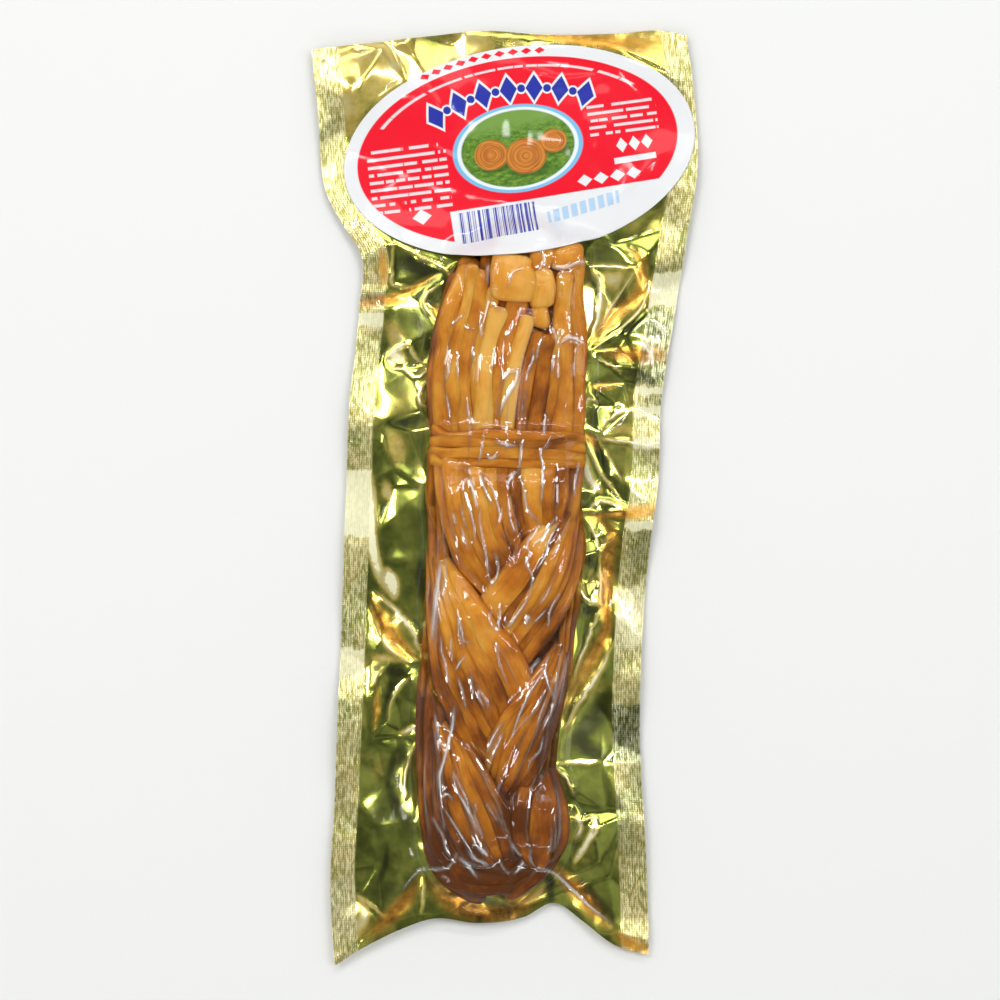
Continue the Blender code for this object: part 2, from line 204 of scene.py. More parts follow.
# Folded and cut pieces lying on the tail: centre, width, length, level, tone
FOLDED_ENDS = [(9.4, 64, 6.2, 8.4, 11.6, 0.6), (16, 63.4, 8.2, 6.6, 11.2, 0.7),
               (2.0, 58, 11.8, 12.4, 13.1, 0.82), (10.1, 55.2, 6.0, 9.8, 12.8, 0.86),
               (9.2, 47.9, 4.8, 5.8, 12.0, 0.66)]
TIE_HEIGHT = 13.4
TIE_TURNS = [(4.9, 2.9, 0.5), (2.1, 3.4, 0.44), (-0.9, 3.2, 0.58), (-3.5, 2.9, 0.5)]
TIE_SLANT = -1.5
TIE_DRAW = 0.26  # how much closer the turns lie at the right
TIE_TOP = 13.2
TIE_BOTTOM = 1.2
# Patches where the cheese is made darker (+) or paler (-):
# x, y, radius across, radius along, strength
TONE_PATCHES = [(-2, -19, 6, 9, 0.3), (3, -17, 5, 8, 0.2), (2, -48, 8, 8, 0.28), (-11, -54, 8, 12, 0.24),
          (13, -66, 5, 14, 0.35), (-20, -66, 4, 16, 0.2), (9, -88, 7, 7, 0.12),
          (-3, -99, 18, 8, 0.42), (-20, -92, 5, 12, 0.3), (12, -38, 5, 6, 0.3), (8, 22, 9, 12, 0.14),
          (6, -30, 5, 8, -0.12), (-13, -30, 6, 8, -0.1), (1.4, -80.2, 2.6, 6, 0.6),
          (12, -30, 6, 3, 0.3), (5, 62, 14, 8, -0.08), (19, 30, 3, 12, 0.12), (9, -83, 8, 12, 0.34),
          (-9, -84, 10, 15, 0.22), (6, -61, 9, 12, 0.08), (-20, -58, 4, 26, 0.1), (14, 14, 8, 5, 0.12),
          (12, 0, 9, 9, 0.12), (4, -20, 9, 9, 0.11), (-4, -52, 12, 16, 0.03)]

# ---------------------------------------------------------------------------------------------
# Label (mm)

LABEL_CENTRE = (3.9, 92.6)
LABEL_LENGTH = 94.5
LABEL_WIDTH = 56.0
LABEL_TURN = math.radians(9)

# ---------------------------------------------------------------------------------------------
# Relief of the webs

RASTER = 0.34  # mm
RASTER_HALF = (54.0, 128.0)
FILM_GAP = 0.14
FILM_SPAN = 34
# Facets folded into the foil beside the plait: chains of (x, y, height) joined by sharp folds
CREASES = [
    # beside the label's left end
    [(-42, 121, 0.2), (-33, 120.4, 1.3), (-41, 105, 0.9)],
    [(-31, 121.5, -0.4), (-26.5, 111, -0.9)],
    [(-27, 122, 0.8), (-24, 118, 0.1), (-14, 121.5, -0.8)],
    # left of the tail
    [(-29.7, 68, 0.7), (-16, 61, 1.0), (-30, 57.4, -0.9), (-29.7, 68, 0.7)],
    [(-22, 52, 0.2), (-17, 56, 1.0), (-16.4, 46, 0.8), (-22, 52, 0.2)],
    [(-32, 37.5, -0.4), (-26, 41, 0.9), (-22, 35.8, -0.3), (-20, 35, 0.4)],
    [(-26, 41, 0.9), (-26.5, 34.2, 0.7), (-24, 32.2, 0.8), (-20, 35, 0.4)],
    [(-32, 20.5, 0.5), (-22, 23.2, 0.9), (-25.5, 18.2, -0.8), (-32, 20.5, 0.5)],
    [(-33, 19, 0.4), (-25.5, 18.2, -0.8), (-30, 7.5, 0.6), (-33, 19, 0.4)],
    # left of the plait
    [(-35, 4, 0.9), (-33.4, -8, 1.0), (-32.4, -16, 0.9), (-35, -23, 0.5)],
    [(-36, -45, -0.6), (-31, -44.6, 0.8), (-25, -45.2, 0.4)],
    [(-26, -47, 0.2), (-29.6, -52, 1.0), (-31.4, -60, 0.9)],
    [(-35.5, -64, -0.5), (-26, -69, 0.7), (-23.5, -86, -0.6), (-34, -98, 0.5)],
    [(-39, -106.5, -0.8), (-31.8, -111.7, 0.9), (-45.5, -124.5, 1.0)],
    # right of the tail
    [(22, 62, 1.2), (22.2, 69, 0.4)], [(22, 62, 1.2), (29, 67.6, -0.7), (35, 61.5, 0.6)],
    [(22, 62, 1.2), (35, 61.5, 0.6), (28.8, 51, -0.9), (22.4, 41, 0.9)],
    [(22, 62, 1.2), (26.2, 55, 0.3), (25, 48, 0.5), (22.4, 41, 0.9)],
    [(22.8, 39.2, 0.9), (32, 43.6, 0.6), (38, 49.6, 1.0)], [(22.8, 39.2, 0.9), (30, 40.6, -0.6)],
    [(22.8, 39.2, 0.9), (30, 35.4, 0.9), (31.6, 31, -0.5), (22.6, 30.6, 0.6)],
    [(31.6, 31, -0.5), (36, 34.5, 0.6)],
    [(21, 29.4, 1.1), (24.6, 25, -0.6), (21, 20.8, 0.8)],
    [(24.6, 25, -0.6), (29.6, 25.2, 0.9), (33, 24, 0.2), (25.6, 17.6, 0.8), (24.6, 25, -0.6)],
    [(25.6, 17.6, 0.8), (33, 15.6, 0.9), (41, 14.6, 0.4)],
    [(20.4, 17.6, 1.0), (25.6, 17.6, 0.8), (31.5, 5, 0.6), (31.8, -1.4, 0.2)],
    [(20.4, 17.6, 1.0), (26.2, 6, -0.9), (31.8, -1.4, 0.2)],
    # right of the plait
    [(20.6, -3.2, 1.2), (23, 2.2, -0.6), (31.8, -1.4, 0.2)],
    [(20.6, -3.2, 1.2), (26, -4, 0.2), (31.4, -3.2, 1.0), (39, -2.6, 0.2)],
    [(31, -8.6, 0.3), (39, -5.2, 1.0)],
    [(20.6, -3.2, 1.2), (22.4, -11, -0.2), (25.6, -14, 0.9)],
    [(20.2, -15.6, 1.0), (25.4, -17.4, 0.2), (21.4, -22, -0.6), (20.2, -15.6, 1.0)],
    [(19.4, -23.2, 0.9), (21.6, -27, 0.9), (26, -28.2, 0.6)],
    [(12.8, -71.4, 0.9), (25.2, -71.0, 0.4), (30.5, -66, -0.6)],
    [(12.8, -71.4, 0.9), (17.6, -76.6, 0.8), (18.4, -81, -0.5)],
    [(16, -85, 0.9), (20.5, -84.5, -0.6), (24, -88, 1.0), (17, -93, -0.3), (25, -97, 0.6)],
    [(29.2, -115.8, 1.2), (38.4, -118.4, 1.3)],
    [(33, -84, 0.6), (28, -101, -0.9)],
    # past the plait's end, and the top right corner
    [(-14, -110, 0.6), (-7, -106.4, 1.1), (3, -109.6, -0.8)],
    [(28, 121.5, 0.3), (38, 116, 1.2), (42, 108, 0.1)],
]
# Deep folds that face the cheese, with its amber reflection painted into them: depth, then (x, y, half its width)
AMBER_FOLDS = [
    (0.5, [(32.6, 67, 0.8), (36, 64.6, 1.8), (36.8, 59.4, 1.7), (35.4, 54, 2.3), (31, 50.4, 2.0),
           (27.8, 47.4, 1.9), (25.4, 44, 1.5), (22.6, 40.4, 0.6)]),
    (0.2, [(25, 39.2, 0.7), (30, 38.6, 1.9), (36, 38.4, 2.3), (42.4, 38.2, 2.2)]),
    (0.4, [(21, -4, 0.7), (26, -6, 1.6), (28.8, -10, 2.5), (27.8, -15, 2.1), (27.4, -22, 1.9),
           (27.0, -28, 1.5), (27.2, -34, 1.9), (24.2, -41, 2.3), (20.2, -48, 2.1), (16.6, -54, 1.7),
           (13.8, -60, 1.0)]),
    (0.3, [(23, -4.2, 0.6), (30, -4.4, 0.9), (35, -3.8, 1.8), (40.6, -2.6, 1.9)]),
    (0.4, [(-35.6, -25.6, 0.9), (-33.6, -31, 2.2), (-30, -36.4, 2.7), (-25.4, -41.2, 1.9),
           (-21.6, -43.2, 0.7)]),
    (0.3, [(-39.4, 52.2, 1.7), (-34, 52.8, 1.7), (-28, 54, 1.3), (-23, 57, 0.9), (-18, 59.8, 0.6)]),
    (0.2, [(-32.6, 66, 1.0), (-32.4, 60, 1.3), (-32, 57, 0.7)]),
    (0.2, [(-19.2, 52, 0.8), (-17.8, 49.6, 1.3), (-16.6, 47, 0.6)]),
    (0.2, [(22.4, 29.8, 0.6), (27, 30, 1.1), (31, 30.6, 0.6)]),
    (0.2, [(20.6, 17.2, 0.8), (22.8, 16.4, 1.1), (25, 13, 0.6)]),
    (0.3, [(-21, -101, 1.2), (-17, -105.4, 2.8), (-11, -109, 3.4), (-5, -110.6, 2.6), (1, -110.4, 2.6),
           (6, -107.4, 2.8), (10, -103.6, 2.0)]),
    (0.3, [(-22.6, -100.6, 1.0), (-25.6, -106, 2.2), (-30, -111, 2.4), (-37, -116.6, 1.6)]),
    (0.4, [(12.6, -96.6, 1.0), (17, -102.4, 2.4), (22, -108, 2.6), (28, -114.6, 1.8)]),
    (0.2, [(29.4, -116.2, 1.2), (33.4, -118.8, 2.0), (38, -120.6, 1.6)]),
    (0.2, [(-34, -50, 0.5), (-34.2, -57, 0.9), (-35, -62, 0.5)]),
    (0.1, [(6, 124, 1.0), (20, 122.6, 1.8), (34, 121.6, 2.6), (43, 121, 2.4)]),
]
# The foil's reflections painted into its colour beside its default, in this order: -1 dark,
# -0.25 green, 0.3 gold, 1 white, then (x, y, half its width)
SHEENS = [
    # left of the tail
    (-0.95, [(-28.6, 60, 1.6), (-27.4, 62.4, 3.0), (-22, 61.2, 2.0), (-17, 60.2, 0.8)]),
    (-0.7, [(-18.6, 57, 1.2), (-15.8, 57.4, 1.9), (-14.8, 53, 1.0)]),
    (0.4, [(-31, 46, 2.2), (-29, 43, 2.6), (-28.6, 39, 2.0)]),
    (-0.8, [(-24.6, 50.6, 1.4), (-23, 46.8, 2.0), (-22.4, 44, 1.0)]),
    (-0.9, [(-19.6, 43.6, 1.0), (-19.6, 40.8, 1.9), (-18.8, 38, 0.8)]),
    (0.8, [(-31.4, 37, 0.9), (-28.6, 37.8, 1.7), (-26.6, 36.8, 1.1)]),
    (-0.15, [(-31, 31, 2.0), (-26.4, 30.6, 3.0), (-24, 31, 2.0)]),
    (-0.9, [(-31, 20.4, 0.6), (-26, 20.2, 1.5), (-22, 21.4, 1.4)]),
    (0.3, [(-31, 18, 1.2), (-28.8, 14, 2.9), (-28, 9, 1.4)]),
    (-0.9, [(-20.6, 12, 0.5), (-21.2, 4, 0.9), (-20.4, -6, 0.6)]),
    # left of the plait
    (-0.25, [(-26, 1, 2.8), (-26.4, -8, 5.2), (-25.6, -15, 3.4), (-24.4, -26, 2.2), (-23.2, -34, 1.2)]),
    (1.0, [(-36.4, 7, 1.6), (-36, -4, 2.1), (-35.4, -12, 1.5), (-33.8, -19, 1.7), (-31.4, -24.6, 1.3)]),
    (0.55, [(-32, 4.6, 1.2), (-31, 0.8, 1.7), (-29.4, -0.8, 0.9)]),
    (1.0, [(-31.4, -18.6, 1.0), (-30.2, -21.8, 2.0), (-29.4, -26.6, 1.1)]),
    (-0.95, [(-21.8, -14, 0.7), (-22.4, -21, 1.4), (-21.6, -28, 0.7)]),
    (-0.35, [(-35.6, -33, 0.9), (-34.8, -37.6, 1.7), (-32.4, -41.2, 1.2)]),
    (0.45, [(-35.4, -42.6, 0.9), (-32, -42.6, 1.0), (-28, -43.4, 0.6)]),
    (-0.95, [(-33, -45.8, 0.9), (-28, -46.2, 1.7), (-24.4, -46.6, 1.0)]),
    (-0.9, [(-29.6, -47, 1.3), (-30.6, -51, 1.2), (-32, -57, 0.8)]),
    (-0.3, [(-25.4, -49.4, 1.4), (-27, -55, 3.0), (-26.6, -60, 2.4)]),
    (-0.85, [(-27, -66, 1.8), (-30, -72, 1.6), (-31, -80, 1.0)]),
    (-0.95, [(-23.6, -85.6, 1.2), (-27, -85, 1.6), (-30.4, -78, 1.2)]),
    (-0.3, [(-30, -90, 4.6), (-31, -97, 5.6), (-30, -103, 3.2)]),
    (-0.85, [(-31.4, -92, 0.6), (-31.8, -97, 0.9), (-33.8, -102.6, 0.8)]),
    (0.6, [(-39.4, -106.6, 0.8), (-37.4, -110, 1.5), (-40, -116, 1.8)]),
    # right of the tail
    (0.65, [(22, 58, 0.8), (22.4, 50, 1.5), (22, 44, 0.9)]),
    (0.55, [(27, 60, 1.4), (28.8, 58, 2.6), (31, 60, 1.4)]),
    (0.1, [(26.4, 54, 0.9), (27.2, 51, 1.6), (25.6, 46.6, 0.9)]),
    (-0.8, [(31.6, 56.8, 0.8), (31.4, 53.6, 1.3), (28.8, 50.8, 0.8)]),
    (-0.95, [(41, 47, 2.2), (35, 46, 2.6), (30, 44.2, 1.5), (26, 41.4, 0.7)]),
    (-0.95, [(38, 33.4, 1.8), (34.8, 33, 1.9), (32.8, 33.4, 1.1)]),
    (-0.7, [(23, 25, 1.4), (24, 22, 2.0), (26.6, 26, 1.2)]),
    (0.3, [(29, 18, 0.9), (31.6, 18.8, 1.5), (34, 17.8, 1.0)]),
    (-0.95, [(22.6, 16.6, 0.9), (25.6, 11.6, 1.5), (29, 6, 1.1)]),
    (-0.1, [(28.4, 14, 1.2), (31.6, 9.6, 2.8), (32.8, 3, 1.5)]),
    (0.95, [(21.6, 12, 0.6), (22.4, 5.6, 1.3), (26, 1.4, 0.8)]),
    # right of the plait
    (-0.8, [(22, -2, 0.9), (20.6, -3, 0.8)]),
    (-0.3, [(22, -10, 1.1), (23.2, -13, 1.3)]),
    (0.15, [(21.4, -18, 0.9), (23.4, -21, 1.6), (22.6, -25, 1.1)]),
    (-0.95, [(19.8, -29.4, 0.9), (22.6, -29.8, 1.4), (24.6, -29.4, 0.6)]),
    (-0.4, [(19.6, -33, 1.1), (20.4, -36, 1.5), (19.4, -40, 0.8)]),
    (-0.95, [(28.6, -52, 2.0), (24.6, -58, 3.2), (20, -64, 3.0), (24, -68, 2.8), (30, -68, 2.0)]),
    (-0.1, [(26.4, -47, 0.7), (23, -52, 1.0), (18.8, -58.6, 1.1), (14.8, -66, 0.8)]),
    (-0.3, [(17, -73, 1.0), (22, -74.6, 2.6), (27, -78, 3.0), (28, -84, 2.4)]),
    (0.9, [(18.8, -84, 0.6), (20.2, -87.4, 0.8), (18.6, -91, 0.6)]),
    (0.9, [(24, -85.6, 0.6), (22.6, -90, 0.8), (20.6, -94, 0.8), (18.4, -97.2, 0.6)]),
    (-0.3, [(26, -92, 2.4), (26.6, -99, 4.0), (28, -106, 2.6)]),
    (-0.9, [(19.8, -101.6, 0.9), (24, -107, 1.4), (29, -112, 1.1)]),
    # past the plait's end
    (-1.0, [(-20, -101.6, 2.0), (-14, -106, 2.4), (-8, -110, 2.6), (0, -111, 2.4), (7, -107, 2.0)]),
    (-1.0, [(11.4, -97.6, 0.9), (12, -103, 1.2), (12.6, -108, 0.9)]),
    (0.4, [(5, -108.4, 0.8), (8.4, -106, 1.1), (10.6, -102.6, 0.6)]),
    (-0.3, [(-7, -108, 1.1), (-2, -108.6, 1.0)]),
    (0.4, [(30.6, -116.6, 0.8), (35, -119, 1.2), (38.2, -119.6, 0.8)]),
]
# Bands of painted reflection, bright or dark, across the knurled seals: side, lowest and highest y, sheen
SEAL_REFLECTION_BANDS = [
    (-1, -118, -101, 0.5), (-1, -48, -40, 0.8), (-1, -10, 8, 1.0), (-1, 45.6, 49.4, 1.0),
    (-1, 50.4, 55, -0.8), (1, -70, -55, -0.8), (1, -40, -24, 0.65), (1, -8.4, -6, 1.0),
    (1, 13, 16, 0.8), (1, 22, 24.4, 1.0), (1, 27.4, 30, 1.0), (1, 31, 50.6, -0.8), (1, 51.4, 60.4, 1.0),
]
# the seals' painted reflection between the bands
SEAL_SHEEN = 0.12
# Thin raised folds of the foil, with a white highlight painted along each: height, width, then points
FOIL_RIDGES = [
    (0.4, 0.9, [(-34.6, -24.6), (-31, -28), (-28.4, -30.2), (-25.4, -34.4), (-23, -39.4), (-21.6, -43)]),
    (0.35, 0.55, [(-35.8, -28.4), (-34.8, -33.4), (-32.4, -38.2), (-29.4, -41.2), (-25, -44.8)]),
    (0.35, 0.55, [(21.8, -6), (24, -10), (25.6, -14.6)]),
    (0.4, 0.6, [(25.6, -14.6), (25.3, -21), (25.9, -28.2)]),
    (0.35, 0.6, [(20.4, -23.6), (22, -27.2), (25.9, -28.4)]),
    (0.4, 0.65, [(25.9, -28.6), (23.6, -34), (21.6, -39), (19.4, -44.4), (17.6, -50)]),
    (0.4, 0.8, [(28.6, -37.6), (27, -43), (22.8, -50), (18.8, -56), (15.8, -61.4)]),
    (0.16, 0.4, [(12.8, -71), (17, -70.6), (21.4, -70.8), (26, -70.4)]),
    (0.3, 0.5, [(12.8, -71.4), (16.2, -74), (18.4, -79.4)]),
    (0.35, 0.5, [(38.8, 58), (36.4, 50.6), (30.4, 45.2), (23.6, 39.8)]),
    (0.3, 0.45, [(23.8, 42.6), (27, 48.6), (31, 55), (34.8, 60.8)]),
    (0.4, 0.85, [(22.6, 61.4), (25, 57.4), (25.3, 51), (23, 42)]),
    (0.35, 0.6, [(22.6, 62.2), (29, 61.8), (35, 61.8)]),
    (0.3, 0.45, [(24.6, 37.2), (28.4, 35.6), (31.4, 33)]),
    (0.3, 0.5, [(20.8, 24), (22.2, 26.4), (25, 26)]),
    (0.3, 0.5, [(25.4, 18.2), (28, 21.4), (32.6, 23.8)]),
    (0.35, 0.6, [(25.4, 16), (33, 15), (40.6, 13)]),
    (0.3, 0.5, [(20.4, 17.2), (25, 8), (31.2, -0.8)]),
    (0.3, 0.4, [(24.8, 16), (28.4, 10), (31.6, 3.6)]),
    (0.35, 0.65, [(22, -3), (24.4, -1), (28, -1.2), (32.4, -1.8)]),
    (0.3, 0.5, [(-16.4, 57.2), (-20.2, 55), (-21.6, 52), (-19.6, 49), (-16.6, 45.6)]),
    (0.3, 0.55, [(-32, 37.2), (-29, 39.8), (-26, 41), (-24.4, 38), (-21.4, 35.8)]),
    (0.3, 0.55, [(-32, 37), (-29.6, 35), (-26.4, 34.4), (-24.4, 32.4), (-20, 34.8)]),
    (0.3, 0.5, [(-20.8, 31), (-22.6, 28.4), (-22.6, 25.4), (-20.6, 24.2)]),
    (0.3, 0.45, [(-29.8, 68.6), (-30.2, 62), (-30, 57.4), (-26, 56.4), (-21.6, 57)]),
    (0.3, 0.5, [(-29.4, 68.4), (-22, 64), (-15.4, 60.4), (-13.8, 55)]),
    (0.25, 0.4, [(-35.6, -50.4), (-34, -47), (-31.6, -45)]),
    (0.35, 0.9, [(-28, -62.6), (-25, -61.4), (-21.8, -61.8)]),
    (0.25, 0.4, [(-22.4, -64), (-25, -68), (-26.6, -74), (-26.4, -80)]),
    (0.25, 0.35, [(-25, -47.2), (-29.4, -52), (-31.4, -60)]),
    (0.35, 0.5, [(-14.4, -104.4), (-9, -105.6), (-4.6, -105.4), (-0.6, -107.6)]),
    (0.35, 0.5, [(0.6, -107.6), (5, -104.8), (9.8, -100.4)]),
    (0.25, 0.35, [(-21.4, -100.4), (-22, -106), (-22.6, -111)]),
    (0.3, 0.45, [(30.2, -115.6), (34, -116.8), (38.4, -117.8)]),
    (0.3, 0.5, [(-39.8, -105.8), (-35.6, -108.4), (-32, -111.6)]),
    (0.3, 0.5, [(17.4, -84.6), (20.6, -86), (23.4, -84.8), (24.6, -88), (21, -92.4), (18, -96.6)]),
]


# ---------------------------------------------------------------------------------------------
# Settings that a user would change


def colour_setting(name, description, default):
    return bpy.props.FloatVectorProperty(
        name=name, description=description, default=default, subtype="COLOR", size=3, min=0, max=1)


def length_setting(name, description, millimetres):
    return bpy.props.FloatProperty(
        name=name, description=description, default=millimetres * MM, subtype="DISTANCE",
        unit="LENGTH", precision=5)


class PouchSettings(bpy.types.PropertyGroup):
    """Sizes and colours of the two webs."""

    crumple: bpy.props.FloatProperty(
        name="Crumple", description="How strongly the foil is crumpled", default=1.0, min=0, max=2)
    # Dark foil is painted dark reflection, the colour in folds is the cheese's amber reflection painted in, and bent
    # foil is a painted white highlight
    foil_colour: colour_setting("Foil", "The foil's gold", (0.92, 0.72, 0.19))
    fold_reflection_colour: colour_setting("Folds", "The foil inside its folds", (0.70, 0.31, 0.035))
    smooth_colour: colour_setting("Smooth foil", "The foil where it is smooth", (0.50, 0.56, 0.11))
    dark_colour: colour_setting("Dark foil", "The foil in its hollows", (0.15, 0.16, 0.06))
    painted_highlight_colour: colour_setting("Bent foil", "The foil on sharp bends", (0.96, 0.94, 0.68))


class CheeseSettings(bpy.types.PropertyGroup):
    """Sizes and colours of the cheese strings."""

    string_depth: length_setting("String depth", "Thickness of a pressed string", 4.4)
    pale_colour: colour_setting("Pale", "Cut ends and unsmoked strings", (0.90, 0.52, 0.12))
    light_colour: colour_setting("Light", "Lightly smoked strings", (0.80, 0.365, 0.043))
    middle_colour: colour_setting("Middle", "Most of the strings", (0.59, 0.205, 0.017))
    dark_colour: colour_setting("Dark", "Hard smoked strings", (0.30, 0.085, 0.009))
    # The deep colour is what the painted shade between strings and at their borders reaches
    deep_colour: colour_setting("Deep", "Between strings", (0.15, 0.042, 0.007))


class LabelSettings(bpy.types.PropertyGroup):
    """Sizes and colours of the label."""

    thickness: length_setting("Thickness", "Thickness of the paper", 0.22)
    paper_colour: colour_setting("Paper", "The unprinted rim", (0.86, 0.87, 0.90))
    field_colour: colour_setting("Field", "The printed field", (0.92, 0.006, 0.026))
    ring_colour: colour_setting("Ring", "The ring round the oval", (0.20, 0.55, 0.86))
    ink_colour: colour_setting("Ink", "Dark print", (0.022, 0.035, 0.40))
    grass_colour: colour_setting("Meadow", "The meadow in the oval", (0.055, 0.17, 0.02))
    bale_colour: colour_setting("Bales", "The bales in the oval", (0.72, 0.27, 0.045))


class StageSettings(bpy.types.PropertyGroup):
    """Floor, lights and camera."""

    floor_colour: colour_setting("Floor", "The floor", (0.90, 0.90, 0.90))
    lamp_power: bpy.props.FloatProperty(
        name="Lamps", description="Strength of all lamps", default=1.0, min=0, max=10)
    camera_height: length_setting("Camera height", "Height of the camera", 700.0)
    view_width: length_setting("View width", "Width that the camera sees", 265.0)


# ---------------------------------------------------------------------------------------------
# Curves and outlines


def smooth_step(low, high, value):
    share = np.clip((value - low) / (high - low), 0, 1)
    return share * share * (3 - 2 * share)


def read_curve(knots, places):
    """A smooth curve through knots of (place, value...), read at places."""
    knots = np.asarray(sorted(knots), float)
    slopes = np.gradient(knots[:, 1:], knots[:, 0], axis=0)
    places = np.clip(np.asarray(places, float), knots[0, 0], knots[-1, 0])
    index = np.clip(np.searchsorted(knots[:, 0], places, side="right") - 1, 0, len(knots) - 2)
    span = (knots[index + 1, 0] - knots[index, 0])[..., None]
    t = (places - knots[index, 0])[..., None] / span
    return (
        knots[index, 1:] * (1 + 2 * t) * (1 - t) ** 2
        + knots[index + 1, 1:] * t * t * (3 - 2 * t)
        + slopes[index] * span * t * (1 - t) ** 2
        - slopes[index + 1] * span * t * t * (1 - t)
    )


def along_edge(points, share):
    points = np.asarray(points, float)
    reach = np.concatenate([[0], np.cumsum(np.linalg.norm(np.diff(points, axis=0), axis=1))])
    return read_curve(np.column_stack([reach / reach[-1], points]).tolist(), share)


def pouch_point(u, v):
    """The place in plan at shares u across and v along the pouch."""
    bottom, top = along_edge(BOTTOM_EDGE, u), along_edge(TOP_EDGE, u)
    left, right = along_edge(LEFT_EDGE, v), along_edge(RIGHT_EDGE, v)
    u, v = u[..., None], v[..., None]
    corners = (
        (1 - u) * (1 - v) * np.array(BOTTOM_EDGE[0])
        + u * (1 - v) * np.array(BOTTOM_EDGE[-1])
        + (1 - u) * v * np.array(TOP_EDGE[0])
        + u * v * np.array(TOP_EDGE[-1])
    )
    return (1 - v) * bottom + v * top + (1 - u) * left + u * right - corners


def plait_middle_and_half(y):
    left, right = np.moveaxis(read_curve(PLAIT_SIDES, y), -1, 0)
    return (left + right) / 2, (right - left) / 2


def plait_share(x, y):
    middle, half = plait_middle_and_half(y)
    past_tail = np.maximum(y - (TAIL_END - TAIL_CAP), 0) / TAIL_CAP
    past_braid = np.maximum(BRAID_END + BRAID_CAP - y, 0) / BRAID_CAP
    return np.hypot((x - middle) / half, past_tail + past_braid)


def label_axes(x, y):
    """Places in the label's own axes, along its length and across it."""
    x, y = x - LABEL_CENTRE[0], y - LABEL_CENTRE[1]
    cosine, sine = math.cos(LABEL_TURN), math.sin(LABEL_TURN)
    return x * cosine + y * sine, y * cosine - x * sine


# ---------------------------------------------------------------------------------------------
# Rasters of heights


@functools.cache
def raster_axes():
    return tuple(np.arange(-half, half + RASTER / 2, RASTER) for half in RASTER_HALF)


def raster_grid():
    return np.meshgrid(*raster_axes())


def read_raster(raster, x, y):
    xs, ys = raster_axes()
    column = np.clip((x - xs[0]) / RASTER, 0, len(xs) - 1.001)
    row = np.clip((y - ys[0]) / RASTER, 0, len(ys) - 1.001)
    i, j = row.astype(int), column.astype(int)
    s, t = row - i, column - j
    return ((1 - s) * ((1 - t) * raster[i, j] + t * raster[i, j + 1])
            + s * ((1 - t) * raster[i + 1, j] + t * raster[i + 1, j + 1]))


def averaged(raster, rounds=1):
    for _ in range(rounds):
        around = raster.copy()
        around[1:-1, 1:-1] = (raster[:-2, 1:-1] + raster[2:, 1:-1] + raster[1:-1, :-2]
                              + raster[1:-1, 2:]) / 4
        raster = around
    return raster


def soft_noise(shape, cell, seed):
    """Smooth noise from -1 to 1 on the raster, with features about cell mm across."""
    generator = np.random.default_rng(seed)
    rows, columns = (int(n * RASTER / cell) + 3 for n in shape)
    coarse = generator.uniform(-1, 1, (rows, columns))
    y = np.arange(shape[0]) * RASTER / cell
    x = np.arange(shape[1]) * RASTER / cell
    i, j = y.astype(int), x.astype(int)
    s, t = smooth_step(0, 1, y - i)[:, None], smooth_step(0, 1, x - j)[None]
    a, b = coarse[i][:, j], coarse[i][:, j + 1]
    c, d = coarse[i + 1][:, j], coarse[i + 1][:, j + 1]
    return (1 - s) * ((1 - t) * a + t * b) + s * ((1 - t) * c + t * d)


def faceted(points, heights, edges):
    """Heights on the raster of flat facets between points, with these edges kept as folds."""
    found = delaunay_2d_cdt([Vector(p) for p in points], edges, [], 0, 1e-3)
    made, faces, sources = found[0], found[2], found[3]
    values = np.array([
        heights[source[0]] if source else 0.0 for source in sources])
    xs, ys = raster_axes()
    relief = np.zeros((len(ys), len(xs)))
    places = np.array([[p.x, p.y] for p in made])
    for face in faces:
        a, b, c = places[list(face)[:3]]
        low, high = np.minimum(np.minimum(a, b), c), np.maximum(np.maximum(a, b), c)
        j0, j1 = np.searchsorted(xs, low[0]), np.searchsorted(xs, high[0], "right")
        i0, i1 = np.searchsorted(ys, low[1]), np.searchsorted(ys, high[1], "right")
        if j1 <= j0 or i1 <= i0:
            continue
        x, y = np.meshgrid(xs[j0:j1], ys[i0:i1])
        area = (b[0] - a[0]) * (c[1] - a[1]) - (c[0] - a[0]) * (b[1] - a[1])
        if abs(area) < 1e-9:
            continue
        second = ((x - a[0]) * (c[1] - a[1]) - (c[0] - a[0]) * (y - a[1])) / area
        third = ((b[0] - a[0]) * (y - a[1]) - (x - a[0]) * (b[1] - a[1])) / area
        first = 1 - second - third
        inside = (first > -1e-6) & (second > -1e-6) & (third > -1e-6)
        height = first * values[face[0]] + second * values[face[1]] + third * values[face[2]]
        block = relief[i0:i1, j0:j1]
        block[inside] = height[inside]
    return relief


def crease_points():
    """The creases' points and folds, and seeded ones that crumple the foil between them."""
    points, heights, edges = [], [], []
    for chain in CREASES:
        start = len(points)
        for x, y, height in chain:
            points.append((x, y))
            heights.append(height)
        edges += [(start + n, start + n + 1) for n in range(len(chain) - 1)]
    generator = np.random.default_rng(SEED)
    named = np.array(points)
    for y in np.arange(-128, 129, 7.4):
        for x in np.arange(-54, 55, 7.4):
            place = np.array([x, y]) + generator.uniform(-2.8, 2.8, 2)
            lift = generator.normal()
            keep = generator.uniform()
            crumpled = place[0] > 15 and -36 < place[1] < 66
            if keep > (0.6 if crumpled else 0.25):
                continue
            if np.min(np.hypot(*(named - place).T)) < 4.2:
                continue
            points.append(tuple(place))
            heights.append(lift * (0.34 if crumpled else 0.12))
    return points, heights, edges


